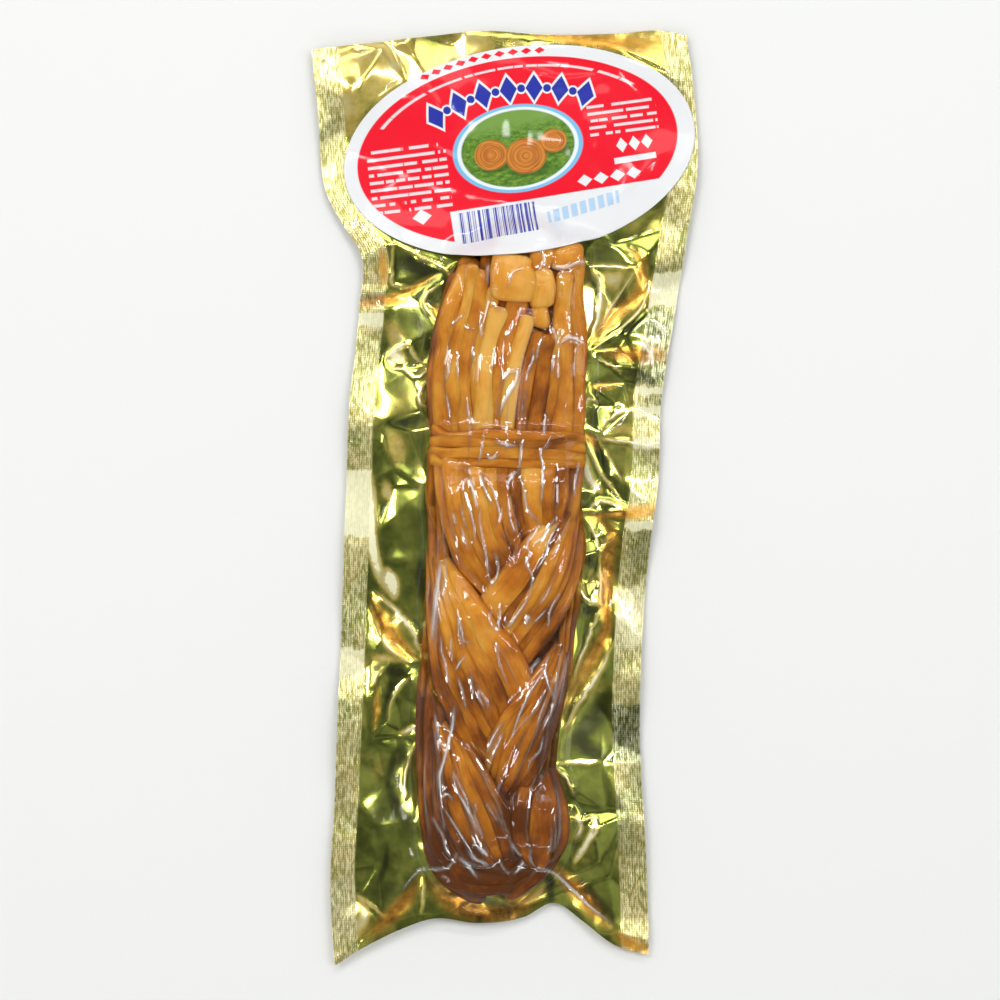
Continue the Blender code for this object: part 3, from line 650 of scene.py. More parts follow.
def line_on(raster, chain, height, widths, power=1.4):
    """Raises the raster along a smooth line through chain, as far to each side as widths say."""
    xs, ys = raster_axes()
    share = np.linspace(0, 1, 60 * len(chain))
    fine = along_edge(chain, share)
    widths = np.interp(share, np.linspace(0, 1, len(widths)), widths)
    taper = np.sin(math.pi * share) ** 0.4
    added = np.zeros_like(raster)
    for (x, y), width, part in zip(fine, widths, taper):
        reach = int(3 * width / RASTER) + 1
        j, i = int((x - xs[0]) / RASTER), int((y - ys[0]) / RASTER)
        rows, columns = slice(max(i - reach, 0), i + reach + 2), slice(max(j - reach, 0), j + reach + 2)
        away = np.hypot(xs[columns][None] - x, ys[rows][:, None] - y)
        block = added[rows, columns]
        np.maximum(block, part * height * np.exp(-(away / width) ** power), out=block)
    raster += added


@functools.cache
def amber_raster():
    """Where the cheese's amber reflection is painted into the foil's folds, and how deep they are."""
    amber = np.zeros_like(raster_grid()[0])
    depth = np.zeros_like(amber)
    for deep, chain in AMBER_FOLDS:
        plan, widths = [point[:2] for point in chain], [point[2] for point in chain]
        line_on(amber, plan, 1.0, widths, 3.0)
        line_on(depth, plan, deep, widths, 2.0)
    return np.minimum(amber, 1), depth


def painted(raster, value, chain, power=3.4):
    """Paints value over the raster along chain of (x, y, half width)."""
    cover = np.zeros_like(raster)
    line_on(cover, [point[:2] for point in chain], 1.0, [point[2] for point in chain], power)
    raster += (value - raster) * np.minimum(cover, 1)


@functools.cache
def crumpled_ridges():
    """The raised folds with small bends along them."""
    generator = np.random.default_rng(SEED + 9)
    made = []
    for height, width, chain in FOIL_RIDGES:
        fine = along_edge(chain, np.linspace(0, 1, 3 * len(chain)))
        fine[1:-1] += generator.normal(0, 0.13, fine[1:-1].shape)
        made.append((height, width, fine.tolist()))
    return made


@functools.cache
def sheen_raster():
    """The foil's painted reflection, from -1, dark, to 1, white."""
    x, y = raster_grid()
    sheen = 0.32 * soft_noise(x.shape, 11, 6) + 0.16 * soft_noise(x.shape, 4, 7)
    # painted light: the foil is made paler towards its top, where it is lit more brightly
    sheen += 0.45 * smooth_step(64, 76, y) - 0.32
    for value, chain in SHEENS:
        painted(sheen, value, chain)
    # a white highlight painted along the raised folds
    for _, width, chain in crumpled_ridges():
        painted(sheen, 1.0, [(*point, 0.7 * width) for point in chain], 2.0)
    return sheen


@functools.cache
def foil_raster():
    """The foil's upper surface: flat under the plait, up its sides, creased beyond them."""
    x, y = raster_grid()
    share = plait_share(x, y)
    half = plait_middle_and_half(y)[1]
    outside = np.maximum(share - 1, 0) * half
    wave = MARGIN_WAVE * np.sin(2 * math.pi * (y + 0.35 * x) / MARGIN_WAVELENGTH)
    margin = MARGIN_HEIGHT + wave * smooth_step(4, 16, outside)
    away = margin + (SEAM_HEIGHT - margin) * np.exp(-outside / MARGIN_FALL)
    base = 0.35 + (away - 0.35) * smooth_step(FLAT_SHARE, 1, share)
    relief = averaged(faceted(*crease_points()), 3)
    relief += 0.6 * soft_noise(x.shape, 15, 1) + 0.07 * soft_noise(x.shape, 5, 2)
    amber, depth = amber_raster()
    relief += amber * 0.16 * soft_noise(x.shape, 2.6, 3) - depth
    for height, width, chain in crumpled_ridges():
        line_on(relief, chain, height, [width])
    relief += 0.6 * soft_noise(x.shape, 12, 4) * smooth_step(28, 36, abs(x))
    reach = smooth_step(0.8, 1.1, share)
    along, across = label_axes(x, y)
    labelled = np.hypot(along / (LABEL_LENGTH / 2), across / (LABEL_WIDTH / 2))
    reach = reach * (0.25 + 0.75 * smooth_step(0.85, 1.05, labelled))
    crumple = bpy.context.scene.cheese_pouch.crumple
    return np.maximum(base + relief * reach * crumple, 0.35)


# ---------------------------------------------------------------------------------------------
# Strings: each is a middle line with its width, depth, tone and number


def rounding_at(y):
    return np.sqrt(1 - np.clip((BRAID_END + BRAID_CAP - y) / BRAID_CAP, 0, 0.985) ** 2)


def strand_line(strand, y):
    turns = read_curve([(height, count) for count, height in enumerate(CROSSINGS)], y)[:, 0]
    angle = np.radians(STRAND_TURNS[strand] + SWAY_PER_CROSSING * turns)
    middle, half = plait_middle_and_half(y)
    rounding = rounding_at(y)
    reach = np.maximum(half * rounding - STRAND_WIDTH * 0.44, 0)
    z = STRAND_MIDDLE - STRAND_DIVE * np.sin(2 * angle)
    z = z * rounding + 1.2 * (1 - rounding)
    return np.stack([middle + reach * np.sin(angle), y, z], axis=1)


def wander(generator, count, size, step=14):
    """A smooth random drift of about size along count points."""
    knots = generator.normal(0, size, count // step + 4)
    place = np.arange(count) / step
    index = place.astype(int)
    t = smooth_step(0, 1, place - index)
    return knots[index] * (1 - t) + knots[index + 1] * t


def across_of(line):
    heading = np.gradient(line[:, :2], axis=0)
    heading /= np.linalg.norm(heading, axis=1, keepdims=True)
    return np.stack([-heading[:, 1], heading[:, 0]], axis=1)


def ribbon_strings(left, right, heights, strings, generator):
    """The strings of a ribbon between its two edges, wavering a little along it."""
    count = int(1.3 * np.linalg.norm(np.diff(left, axis=0), axis=1).sum())
    share = np.linspace(0, 1, count)
    left, right = along_edge(left, share), along_edge(right, share)
    level = read_curve(list(zip(np.linspace(0, 1, len(heights)), heights)), share)[:, 0]
    total = sum(weight for weight, _ in strings)
    start = 0.0
    for weight, tone in strings:
        part = weight / total
        middle = start + part / 2 + wander(generator, count, 0.012)
        start += part
        plan = left + (right - left) * middle[:, None]
        across = np.abs(np.sum((right - left) * across_of(plan), axis=1))
        beside, half = plait_middle_and_half(plan[:, 1])
        side = np.maximum(np.abs(plan[:, 0] - beside) / half - 0.6, 0) / 0.4
        crown = RIBBON_CROWN * (1 - (2 * middle - 1) ** 2)
        z = level + crown - SIDE_DROP * side**2 + wander(generator, count, 0.22)
        widths = np.maximum(across * part, 1.2) * STRING_OVERLAP * (1 + wander(generator, count, 0.05))
        yield np.column_stack([plan, z]), widths, tone


@functools.cache
def plait_strings():
    depth = bpy.context.scene.cheese_strings.string_depth / MM
    generator = np.random.default_rng(SEED + 1)
    made = []
    for ribbon in RIBBONS.values():
        for line, widths, tone in ribbon_strings(*ribbon, generator):
            depths = np.full(len(line), depth) * (1 + wander(generator, len(line), 0.05))
            made.append((line, widths, depths, tone, len(made)))
    y = np.arange(TIE_HEIGHT + 4, BRAID_END + 0.5, -1.2)
    for strand in range(len(STRAND_TURNS)):
        line = strand_line(strand, y)
        across = across_of(line)
        for place in range(BACK_STRINGS):
            offset = (place + 0.5) / BACK_STRINGS * STRAND_WIDTH - STRAND_WIDTH / 2
            string = line.copy()
            string[:, :2] += across * offset * (0.45 + 0.55 * rounding_at(y))[:, None]
            string[:, 2] = np.clip(string[:, 2] - BACK_DROP * rounding_at(y), 2.6, 7)
            made.append((string, np.full(len(y), 4.6), np.full(len(y), depth), BACK_TONE, len(made)))
    return made


@functools.cache
def tail_strings():
    generator = np.random.default_rng(SEED + 2)
    made = []
    for end_x, end_y, mid_x, tie_x, width, level, tone in TAIL_STRINGS + UNDER_STRINGS:
        y = np.arange(end_y, TIE_HEIGHT - 5, -0.7)
        path = read_curve([(TIE_HEIGHT - 6, tie_x), (17, tie_x), (33, mid_x), (end_y + 1, end_x)], y)
        count = len(y)
        neck = np.exp(-(((y - TIE_HEIGHT) / 6) ** 2))
        z = level + wander(generator, count, 0.3, 16) - 0.9 * neck
        string = np.stack([path[:, 0] + wander(generator, count, 0.4, 16), y, z], axis=1)
        widths = width * TAIL_SPREAD * (1 + wander(generator, count, 0.1))
        made.append((string, widths, np.full(count, TAIL_DEPTH), tone, 40 + len(made)))
    return made


@functools.cache
def folded_ends():
    made = []
    for x, y, width, length, level, tone in FOLDED_ENDS:
        ys = np.arange(y + length / 2, y - length / 2 - 0.01, -0.35)
        bow = ((ys - y) / length * 2) ** 2
        line = np.stack([x + 0.35 * np.sin(ys * 0.7), ys, level - 0.9 * bow], axis=1)
        widths = width * (1 + 0.09 * np.sin(ys * 0.55 + x))
        made.append((line, widths, np.full(len(ys), 3.0), tone, 70 + len(made)))
    return made


@functools.cache
def tie_strings():
    """The turns of the tie, all the way round the neck."""
    generator = np.random.default_rng(SEED + 3)
    middle, half = plait_middle_and_half(np.array([TIE_HEIGHT]))
    turn = np.linspace(0, 2 * math.pi, 170)
    made = []
    for rise, width, tone in TIE_TURNS:
        across, up = np.cos(turn), np.sin(turn)
        x = middle + (half - 0.6) * np.sign(across) * abs(across) ** 0.62
        centre, reach = (TIE_TOP + TIE_BOTTOM) / 2, (TIE_TOP - TIE_BOTTOM) / 2
        z = centre + reach * np.sign(up) * abs(up) ** 0.62
        sway = wander(generator, len(turn), 0.5, 20)
        joined = smooth_step(150, 169, np.arange(170))
        sway = sway * (1 - joined) + sway[0] * joined
        share = (x - middle + half) / (2 * half)
        y = TIE_HEIGHT + rise * (1 - TIE_DRAW * share) + TIE_SLANT * share + sway
        made.append((np.stack([x, y, z], axis=1), width * (1.12 + 0.5 * sway * (1 - joined)), np.full(170, 2.4), tone,
                     80 + len(made)))
    return made


def stamp(raster, line, widths, depths):
    """Raises the raster to the top of a string of oval section that follows line."""
    xs, ys = raster_axes()
    count = len(line)
    places = np.linspace(0, count - 1, 5 * count)
    index = np.arange(count)
    fine = np.stack([np.interp(places, index, line[:, axis]) for axis in range(3)], axis=1)
    widths, depths = np.interp(places, index, widths), np.interp(places, index, depths)
    across = across_of(fine)
    for share in np.linspace(-1, 1, 33):
        point = fine[:, :2] + across * (share * widths / 2)[:, None]
        top = fine[:, 2] + depths / 2 * (1 - abs(share) ** SECTION_POWER) ** (1 / SECTION_POWER)
        column = np.clip(np.rint((point[:, 0] - xs[0]) / RASTER).astype(int), 0, len(xs) - 1)
        row = np.clip(np.rint((point[:, 1] - ys[0]) / RASTER).astype(int), 0, len(ys) - 1)
        np.maximum.at(raster, (row, column), top)


@functools.cache
def cheese_top():
    """The height of the cheese from above, 0 where there is none."""
    x, _ = raster_grid()
    top = np.zeros_like(x)
    for line, widths, depths, _, _ in plait_strings() + tail_strings() + folded_ends():
        stamp(top, line, widths, depths)
    for line, widths, depths, _, _ in tie_strings():
        half = len(line) // 2
        stamp(top, line[:half], widths[:half], depths[:half])
    return top


@functools.cache
def smoothed_cheese():
    return averaged(cheese_top(), 8)


# Wrinkles of the film over the plait, painted as milky creases and glints, by their half width: chains of (x, y)
FILM_LINES = {
    0.2: [
        [(-4.5, 63), (-4.5, 56.4)], [(0.6, 55), (2.3, 59.3), (4.6, 60.4)], [(13.9, 58.9), (17.4, 59.8)],
        [(-3.6, 51.8), (-1.9, 50), (0.1, 49.3)], [(-14.7, 45), (-12.9, 46.8), (-10.3, 48.9)],
        [(-10.6, 45), (-8.3, 44.3)], [(-6.1, 48.6), (-6.5, 45.7), (-5.8, 42.1)],
        [(5.3, 50.5), (4.2, 49.6), (3.5, 47.1)], [(2.3, 46.4), (1.7, 44.3), (0.3, 42.3)],
        [(-8.6, 39.6), (-8.1, 35.4)], [(-12.4, 38.9), (-12.6, 31.4)],
        [(7.4, 39.3), (7.1, 36.1), (5.6, 32.5), (5.3, 30)], [(10.3, 42.5), (8.9, 40), (8.1, 36.1)],
        [(13.9, 38.6), (13.7, 31.4)], [(-5.6, 17), (-6.5, 11.4), (-7.1, 8.9)],
        [(-11.7, -1.1), (-11, -4.7), (-9.9, -8.3)], [(0.6, 1), (1, -3.6), (2.2, -9)],
        [(19.7, 10.6), (18.8, 6), (18.3, 0.6)], [(-15.6, -16.5), (-15.8, -22.6), (-16.9, -26.1)],
        [(7.6, -19.4), (10.4, -15.4), (11.9, -9.7), (14.4, -6.5)], [(-10.6, -24.7), (-9.6, -26.5)],
        [(-12.3, -31.3), (-12.1, -35.6), (-10.9, -39.5)], [(-14.3, -35.9), (-14.1, -39.9), (-13.7, -43.4)],
        [(-9.4, -45.9), (-8.5, -49.9), (-8.2, -53.4)], [(-7.3, -50.2), (-5.1, -52.4), (-4.1, -54.9)],
        [(-2.6, -37.7), (-1.4, -43.4), (0.6, -48.8)], [(12.2, -22.6), (10.4, -26.1), (9, -27.9)],
        [(10.6, -50.2), (7.7, -55.6), (5.2, -58.1), (1.5, -62.9)], [(10.9, -52), (9.5, -55.9), (8.1, -59.9)],
        [(-0.1, -60.6), (-1.9, -64.9), (-4.1, -69.5)], [(9.9, -62.4), (9, -66.3), (6.6, -68.8), (5.9, -72)],
        [(-13.7, -70.9), (-11.9, -75.2), (-10.1, -78.8), (-9.1, -82.4)], [(-8, -79.5), (-7.3, -82)],
        [(-19.1, -84.1), (-16.2, -89.1), (-15.5, -92.4), (-14.1, -95.2)], [(-5.5, -79.1), (-1.6, -85.2)],
        [(2, -90.9), (3.1, -93.1), (4.9, -94.5)], [(-1.6, -94.9), (-0.5, -97.7), (1.3, -99.3)],
    ],
    0.27: [
        [(9.8, 67.5), (9.4, 61), (8.1, 60.5)], [(11.7, 44.8), (12.8, 43.9), (13.7, 41.1)],
        [(-14.4, 38.6), (-14.7, 35), (-15.4, 30.7)], [(-2.6, 39.3), (-3.1, 34.3)],
        [(12.8, 37.9), (12.3, 32.9)], [(-9.9, 27), (-9.4, 22), (-8.2, 19)], [(-15.5, 28), (-14.2, 20.5)],
        [(10.6, 22), (10.2, 16.4)], [(-9.6, 5.3), (-8.5, 2.4), (-7.3, -2.6)],
        [(-6.7, 7.4), (-5.8, 4.2), (-4.6, 0.6), (-3.5, -1.5)],
        [(-5.3, 6), (-3.1, 2.1), (-2.1, -1.1), (-1.4, -4.4), (-2.3, -6.9)],
        [(-10.6, 6), (-10.8, 3.5), (-10.3, -0.1), (-8.9, -4), (-8.1, -8.3), (-8.3, -11.9)],
        [(-14, -3.3), (-12.7, -7)], [(-11.7, -6.9), (-10.6, -10.4), (-9.6, -13.3)],
        [(-6.5, -2.2), (-6.7, -5.4), (-6, -9.7), (-4.9, -15), (-4.4, -19.7), (-3.5, -23.1)],
        [(-3.5, -23.1), (-1.9, -19.7), (-2.1, -16.1), (-3.1, -14)], [(4.5, 16), (4.2, 12.4), (3.6, 7.3)],
        [(3.8, 6), (5.1, 1.7), (5.6, -1.9), (7.2, -4.7), (9.5, -6.9)],
        [(9.5, -7.2), (6.9, -9.7), (5.8, -12.6), (6.5, -14.4), (5.6, -17.2), (7, -19.7), (6.3, -25.8)],
        [(11.5, 16), (11.1, 13.9), (9.4, 12.8), (9.9, 8.9), (10.1, 5.3), (9.7, 1.7), (9.4, -1.9)],
        [(7.4, -12.6), (9.7, -10.4), (11.9, -6.9), (13.6, -5.1)],
        [(-12.8, -29.5), (-11.8, -32.4), (-11.2, -35.2), (-10.5, -37.7), (-8.5, -37.7)],
        [(-10.5, -41.3), (-11.9, -43.1), (-13, -45.2)], [(-12.6, -46.6), (-11.2, -50.6), (-10.3, -55.2)],
        [(-16.6, -35.9), (-16.6, -39.9), (-15.7, -43.1), (-15, -47), (-14.3, -49.5)],
        [(-7.3, -50.2), (-6.6, -52.7), (-5.3, -54.9)], [(-3.7, -29.1), (-4.1, -32), (-2.6, -34.5)],
        [(-1, -27.4), (-1.6, -32.7), (-1.8, -35.2)], [(0, -30.6), (0.9, -33.4), (3.1, -30.6), (6.3, -25.9)],
        [(5.8, -33.8), (5.8, -30.6), (7, -32.5)], [(7.7, -32.5), (10.8, -29.1)],
        [(10, -33.8), (11.3, -33.1), (11.5, -30.6), (12.7, -27.4), (14.5, -25.2)],
        [(9.1, -42.4), (6.1, -45.5)], [(11.8, -41.3), (10.8, -43.4), (10.9, -47), (12.7, -52.7)],
        [(9.9, -46.3), (6.3, -51.3), (4.1, -55.9), (1.6, -63.1)], [(-0.5, -58.4), (-3, -62.4), (-4.8, -67)],
        [(-18.5, -56.6), (-17.6, -61.3), (-16.9, -64.5)], [(-16.4, -80.6), (-13.7, -84.9), (-9.4, -92)],
        [(-13.9, -70.9), (-12.6, -76.3), (-10.5, -80.2), (-8.7, -83.4), (-7.3, -86.6), (-5.9, -88.8)],
        [(-8.2, -91.1), (-5.9, -92.7), (-3.4, -95.2)], [(-12.6, -93.4), (-14.4, -97), (-22.6, -99.1), (-28, -105)],
        [(5.2, -95.2), (4.1, -97.4), (2.4, -99.5)], [(-16.6, -78.8), (-15.5, -77.4), (-13.4, -79.1)],
    ],
    0.42: [
        [(11.7, 61), (15.3, 60.7), (18.9, 62), (22, 62.9)], [(13.9, 40.4), (17.1, 42.5), (20.6, 41.4)],
        [(-0.8, 30), (1, 32.9), (3.1, 33.6), (2.8, 30.7), (0, 26), (-1.6, 21.6)],
        [(3.6, 7.2), (2.2, 6.4), (1.1, 4.6), (0.6, 2.8)], [(-2.8, 15.3), (0.1, 14.2), (3.1, 13.9)],
        [(-4.9, 11.7), (-3.9, 10.6), (-1.7, 11.7)],
        [(-16.5, -16.5), (-17.1, -19.7), (-17.6, -23.3), (-18.3, -28.6), (-19.1, -37)],
        [(-13.4, -54.1), (-13.7, -59.5), (-14.8, -63.8), (-15.9, -68.4), (-17.1, -72.7), (-16.8, -77.4)],
        [(-9.4, -92.4), (-7.6, -95.2), (-4.1, -97)], [(-11.9, -94.9), (-9.4, -97.4), (-7.5, -100.4)],
        [(6.6, -94.2), (7.4, -95.9), (12.4, -99.1), (18.4, -104.9), (22, -108.4), (29, -114)],
    ],
}
FILM_RISE = 0.3
# random wrinkles along the strings, painted as glints like the lines above
STREAKS = 70
# Painted shade: strings are darkened down between one another and at their borders, where their sides turn away
GROOVE_SHADE = 0.25
BORDER_SHADE = 0.3  # how much darker a string is at its two borders
BORDER_SHARPNESS = 5


@functools.cache
def film_rasters():
    """The film's height, and how sharply it is wrinkled, which is also where glints are painted on it."""
    x, y = raster_grid()
    lowest = foil_raster() + FILM_GAP
    top = cheese_top()
    under = np.where(top > 0, top + FILM_GAP, 0)
    floor = np.maximum(lowest, under)
    height = floor
    for _ in range(FILM_SPAN):
        height = np.maximum(averaged(height), floor)
    wrinkles = np.zeros_like(height)
    for width, chains in FILM_LINES.items():
        for chain in chains:
            line_on(wrinkles, chain, 1.0, [width])
    generator = np.random.default_rng(SEED + 5)
    strings = [string for string in plait_strings() + tail_strings() if string[3] != BACK_TONE]
    for _ in range(STREAKS):
        line = strings[generator.integers(len(strings))][0]
        start = generator.integers(0, max(len(line) - 24, 1))
        length = int(generator.uniform(14, 34))
        piece = line[start:start + length:6, :2] + generator.normal(0, 1.0, 2)
        piece = piece + generator.normal(0, 0.16, piece.shape)
        if len(piece) > 2:
            line_on(wrinkles, piece, generator.uniform(0.25, 0.6), [generator.uniform(0.18, 0.26)])
    wrinkles = np.minimum(wrinkles, 1)
    height = height + FILM_RISE * wrinkles
    return height, wrinkles


CHEESE_CLEARANCE = 0.3  # of the cheese's underside over the foil


@functools.cache
def resting_raster():
    """The lowest that the cheese may lie: just over the foil, and never through the film."""
    foil, film = foil_raster(), film_rasters()[0]
    crests = foil
    for _ in range(2):
        near = [np.roll(crests, step, axis) for axis in (0, 1) for step in (-1, 1)]
        crests = np.maximum.reduce([crests, *near])
    return np.minimum(crests + CHEESE_CLEARANCE, (foil + film) / 2)


def rested(points):
    """Points of the cheese, with those under the foil lifted onto it."""
    lifted = points.copy()
    lifted[:, 2] = np.maximum(points[:, 2], read_raster(resting_raster(), points[:, 0], points[:, 1]))
    return lifted


# Soft creases across the label: chains of (x, y)
LABEL_CREASES = [[(-26, 116), (-20, 108), (-14, 99)], [(-20, 94), (-12, 90), (-4, 85)],
                 [(26, 78), (34, 84), (41, 92)], [(4, 115), (14, 112), (26, 113)]]


@functools.cache
def label_bed():
    bed = film_rasters()[0]
    for _ in range(4):
        near = [np.roll(bed, step, axis) for axis in (0, 1) for step in (-1, 1)]
        bed = np.maximum.reduce([bed, *near])
    bed = np.maximum(averaged(bed, 34), averaged(film_rasters()[0], 1))
    bed = bed + 0.2 * soft_noise(bed.shape, 9, 11) + 0.08 * soft_noise(bed.shape, 4, 14) + 0.2
    for chain in LABEL_CREASES:
        line_on(bed, chain, 0.3, [0.9])
    return bed


# ---------------------------------------------------------------------------------------------
# Meshes


def new_object(name, vertices, faces, attributes=(), material=None, smooth=True):
    mesh = bpy.data.meshes.new(name)
    mesh.from_pydata((np.asarray(vertices) * MM).tolist(), [], np.asarray(faces).tolist())
    for title, values in dict(attributes).items():
        layer = mesh.attributes.new(title, "FLOAT", "POINT")
        layer.data.foreach_set("value", np.asarray(values, np.float32))
    if smooth:
        mesh.shade_smooth()
    if material:
        mesh.materials.append(material)
    made = bpy.data.objects.new(name, mesh)
    bpy.context.scene.collection.objects.link(made)
    return made


def grid_faces(rows, columns, wrap=False):
    """Faces of a grid of points, numbered row by row, closed round its columns if wrap."""
    across = columns if wrap else columns - 1
    i, j = np.meshgrid(np.arange(rows - 1), np.arange(across), indexing="ij")
    after = (j + 1) % columns
    quads = [i * columns + j, i * columns + after, (i + 1) * columns + after, (i + 1) * columns + j]
    return np.stack(quads, axis=-1).reshape(-1, 4)


def solidify(piece, thickness, offset):
    web = piece.modifiers.new("thickness", "SOLIDIFY")
    web.thickness = thickness
    web.offset = offset


SECTION_SIDES = 14
SECTION_POWER = 3.0  # of the rounded rectangle that a pressed string's section is
CAP_WIDTHS = (0.55, 0.84, 0.96)  # of the first rings of a cut end


def tube(line, widths, depths, cut, closed=False):
    """Vertices and faces of a pressed string along line, and how far along and round each is."""
    heading = np.gradient(line, axis=0)
    heading /= np.linalg.norm(heading, axis=1, keepdims=True)
    if closed:
        centre = line.mean(axis=0)
        up = line - centre
        up[:, 1] = 0
    else:
        up = np.tile([0.0, 0.0, 1.0], (len(line), 1))
    side = np.cross(heading, up)
    side /= np.linalg.norm(side, axis=1, keepdims=True)
    up = np.cross(side, heading)
    turn = np.linspace(0, 2 * math.pi, SECTION_SIDES, endpoint=False)
    cosine, sine = np.cos(turn), np.sin(turn)
    cosine, sine = (np.sign(v) * abs(v) ** (2 / SECTION_POWER) for v in (cosine, sine))
    scale = np.ones(len(line))
    if not closed and cut:
        for ring, width in enumerate(CAP_WIDTHS):
            scale[ring] = width
            scale[-1 - ring] = width
    rings = (line[:, None] + side[:, None] * (cosine[None] * (widths * scale)[:, None] / 2)[..., None]
             + up[:, None] * (sine[None] * (depths * scale)[:, None] / 2)[..., None])
    reach = np.concatenate([[0], np.cumsum(np.linalg.norm(np.diff(line, axis=0), axis=1))])
    vertices = rings.reshape(-1, 3)
    faces = grid_faces(len(line), SECTION_SIDES, wrap=True).tolist()
    if closed:
        last = (len(line) - 1) * SECTION_SIDES
        faces += [[last + n, last + (n + 1) % SECTION_SIDES, (n + 1) % SECTION_SIDES, n]
                  for n in range(SECTION_SIDES)]
    else:
        faces.append(list(range(SECTION_SIDES - 1, -1, -1)))
        faces.append([(len(line) - 1) * SECTION_SIDES + n for n in range(SECTION_SIDES)])
    return vertices, faces, np.repeat(reach, SECTION_SIDES), np.tile(turn, len(line))


def strings_object(name, strings, material, closed=False):
    """One mesh of many strings."""
    vertices, faces, along, around, tones, numbers = [], [], [], [], [], []
    for line, widths, depths, tone, number in strings:
        if closed:
            line, widths, depths = line[:-1], widths[:-1], depths[:-1]
        made, quads, reach, turn = tube(line, widths, depths, True, closed)
        base = len(vertices) * 0 + sum(len(part) for part in vertices)
        faces += [[corner + base for corner in face] for face in quads]
        vertices.append(made)
        along.append(reach)
        around.append(turn)
        # each string's tone: painted shade at its borders and down between strings, and patches made darker or paler
        border_shade = BORDER_SHADE * abs(np.cos(turn)) ** BORDER_SHARPNESS
        tones.append(tone - border_shade - tone_patch_at(made) - GROOVE_SHADE * groove_at(made))
        numbers.append(np.full(len(made), number * 1.37))
    vertices = rested(np.concatenate(vertices))
    mesh = bpy.data.meshes.new(name)
    mesh.from_pydata((vertices * MM).tolist(), [], faces)
    values = {"along": along, "around": around, "tone": tones, "number": numbers}
    for title, parts in values.items():
        layer = mesh.attributes.new(title, "FLOAT", "POINT")
        layer.data.foreach_set("value", np.concatenate(parts).astype(np.float32))
    mesh.shade_smooth()
    mesh.materials.append(material)
    made = bpy.data.objects.new(name, mesh)
    bpy.context.scene.collection.objects.link(made)
    return made


def groove_at(points):
    """How far points lie down between the strings, from 0 on a crest to 1."""
    around = read_raster(smoothed_cheese(), points[:, 0], points[:, 1])
    return smooth_step(0.2, 2.4, around - points[:, 2])


def tone_patch_at(points):
    x, y = points[:, 0], points[:, 1]
    return sum(strength * np.exp(-((x - cx) / rx) ** 2 - ((y - cy) / ry) ** 2)
               for cx, cy, rx, ry, strength in TONE_PATCHES)


def spaced(*spans):
    """Shares from 0 to 1 made of (end, count) spans, for the columns of a grid."""
    shares, start = [0.0], 0.0
    for end, count in spans:
        shares += list(np.linspace(start, end, count + 1)[1:])
        start = end
    return np.array(shares)


ROWS = 440


def web_points(columns):
    """The plan points of a web's grid, row by row, and its distance in mm from the nearer side."""
    u, v = np.meshgrid(columns, np.linspace(0, 1, ROWS + 1))
    plan = pouch_point(u.ravel(), v.ravel()).reshape(*u.shape, 2)
    width = plan[:, -1:, 0] - plan[:, :1, 0]
    return plan.reshape(-1, 2), (np.minimum(u, 1 - u) * width).ravel()


def rib_height(inwards):
    """The fine ribs that run along each seal."""
    fade = smooth_step(0, 0.6, inwards) * (1 - smooth_step(6.2, 7.4, inwards))
    return 0.016 * np.sin(2 * math.pi * inwards / 1.65) * fade


def mirrored_columns(seal, inner_end, inner, middle):
    """Columns of a web's grid: each seal, the margin inside it up to inner_end, and the middle."""
    return spaced((SEAL_SHARE, seal), (inner_end, inner), (1 - inner_end, middle),
                  (1 - SEAL_SHARE, inner), (1, seal))


def seal_sheen(x, y, inwards):
    """The painted reflection on each seal, with its bands' edges broken up."""
    ragged = y + 0.9 * read_raster(soft_noise(raster_grid()[0].shape, 1.6, 12), x, y)
    sheen = SEAL_SHEEN + 0.3 * read_raster(soft_noise(raster_grid()[0].shape, 6, 13), x, y)
    for side, low, high, value in SEAL_REFLECTION_BANDS:
        cover = smooth_step(low - 0.5, low + 0.5, ragged) * (1 - smooth_step(high - 0.5, high + 0.5, ragged))
        sheen += (value - sheen) * cover * (np.sign(x) == side)
    return sheen


# ---------------------------------------------------------------------------------------------
# Shader nodes as expressions


class Link:
    """A socket of a material's nodes. Python's operators on it add Math nodes."""

    def __init__(self, graph, socket):
        self.graph = graph
        self.socket = socket

    def maths(self, operation, *values):
        return self.graph.add("Math", {"operation": operation}, dict(enumerate(values)))

    def __add__(self, other):
        return self.maths("ADD", self, other)

    __radd__ = __add__

    def __sub__(self, other):
        return self.maths("SUBTRACT", self, other)

    def __rsub__(self, other):
        return self.maths("SUBTRACT", other, self)

    def __mul__(self, other):
        return self.maths("MULTIPLY", self, other)

    __rmul__ = __mul__

    def __truediv__(self, other):
        return self.maths("DIVIDE", self, other)

    def __pow__(self, other):
        return self.maths("POWER", self, other)

    def __lt__(self, other):
        return self.maths("LESS_THAN", self, other)

    def __gt__(self, other):
        return self.maths("GREATER_THAN", self, other)

    def __abs__(self):
        return self.maths("ABSOLUTE", self)

    def sine(self):
        return self.maths("SINE", self)

    def most(self, other):
        return self.maths("MAXIMUM", self, other)

    def least(self, other):
        return self.maths("MINIMUM", self, other)

    def rise(self, low, high):
        """0 below low and 1 above high, smooth between them."""
        return self.graph.add(
            "MapRange", {"interpolation_type": "SMOOTHSTEP"},
            {"Value": self, "From Min": low, "From Max": high})


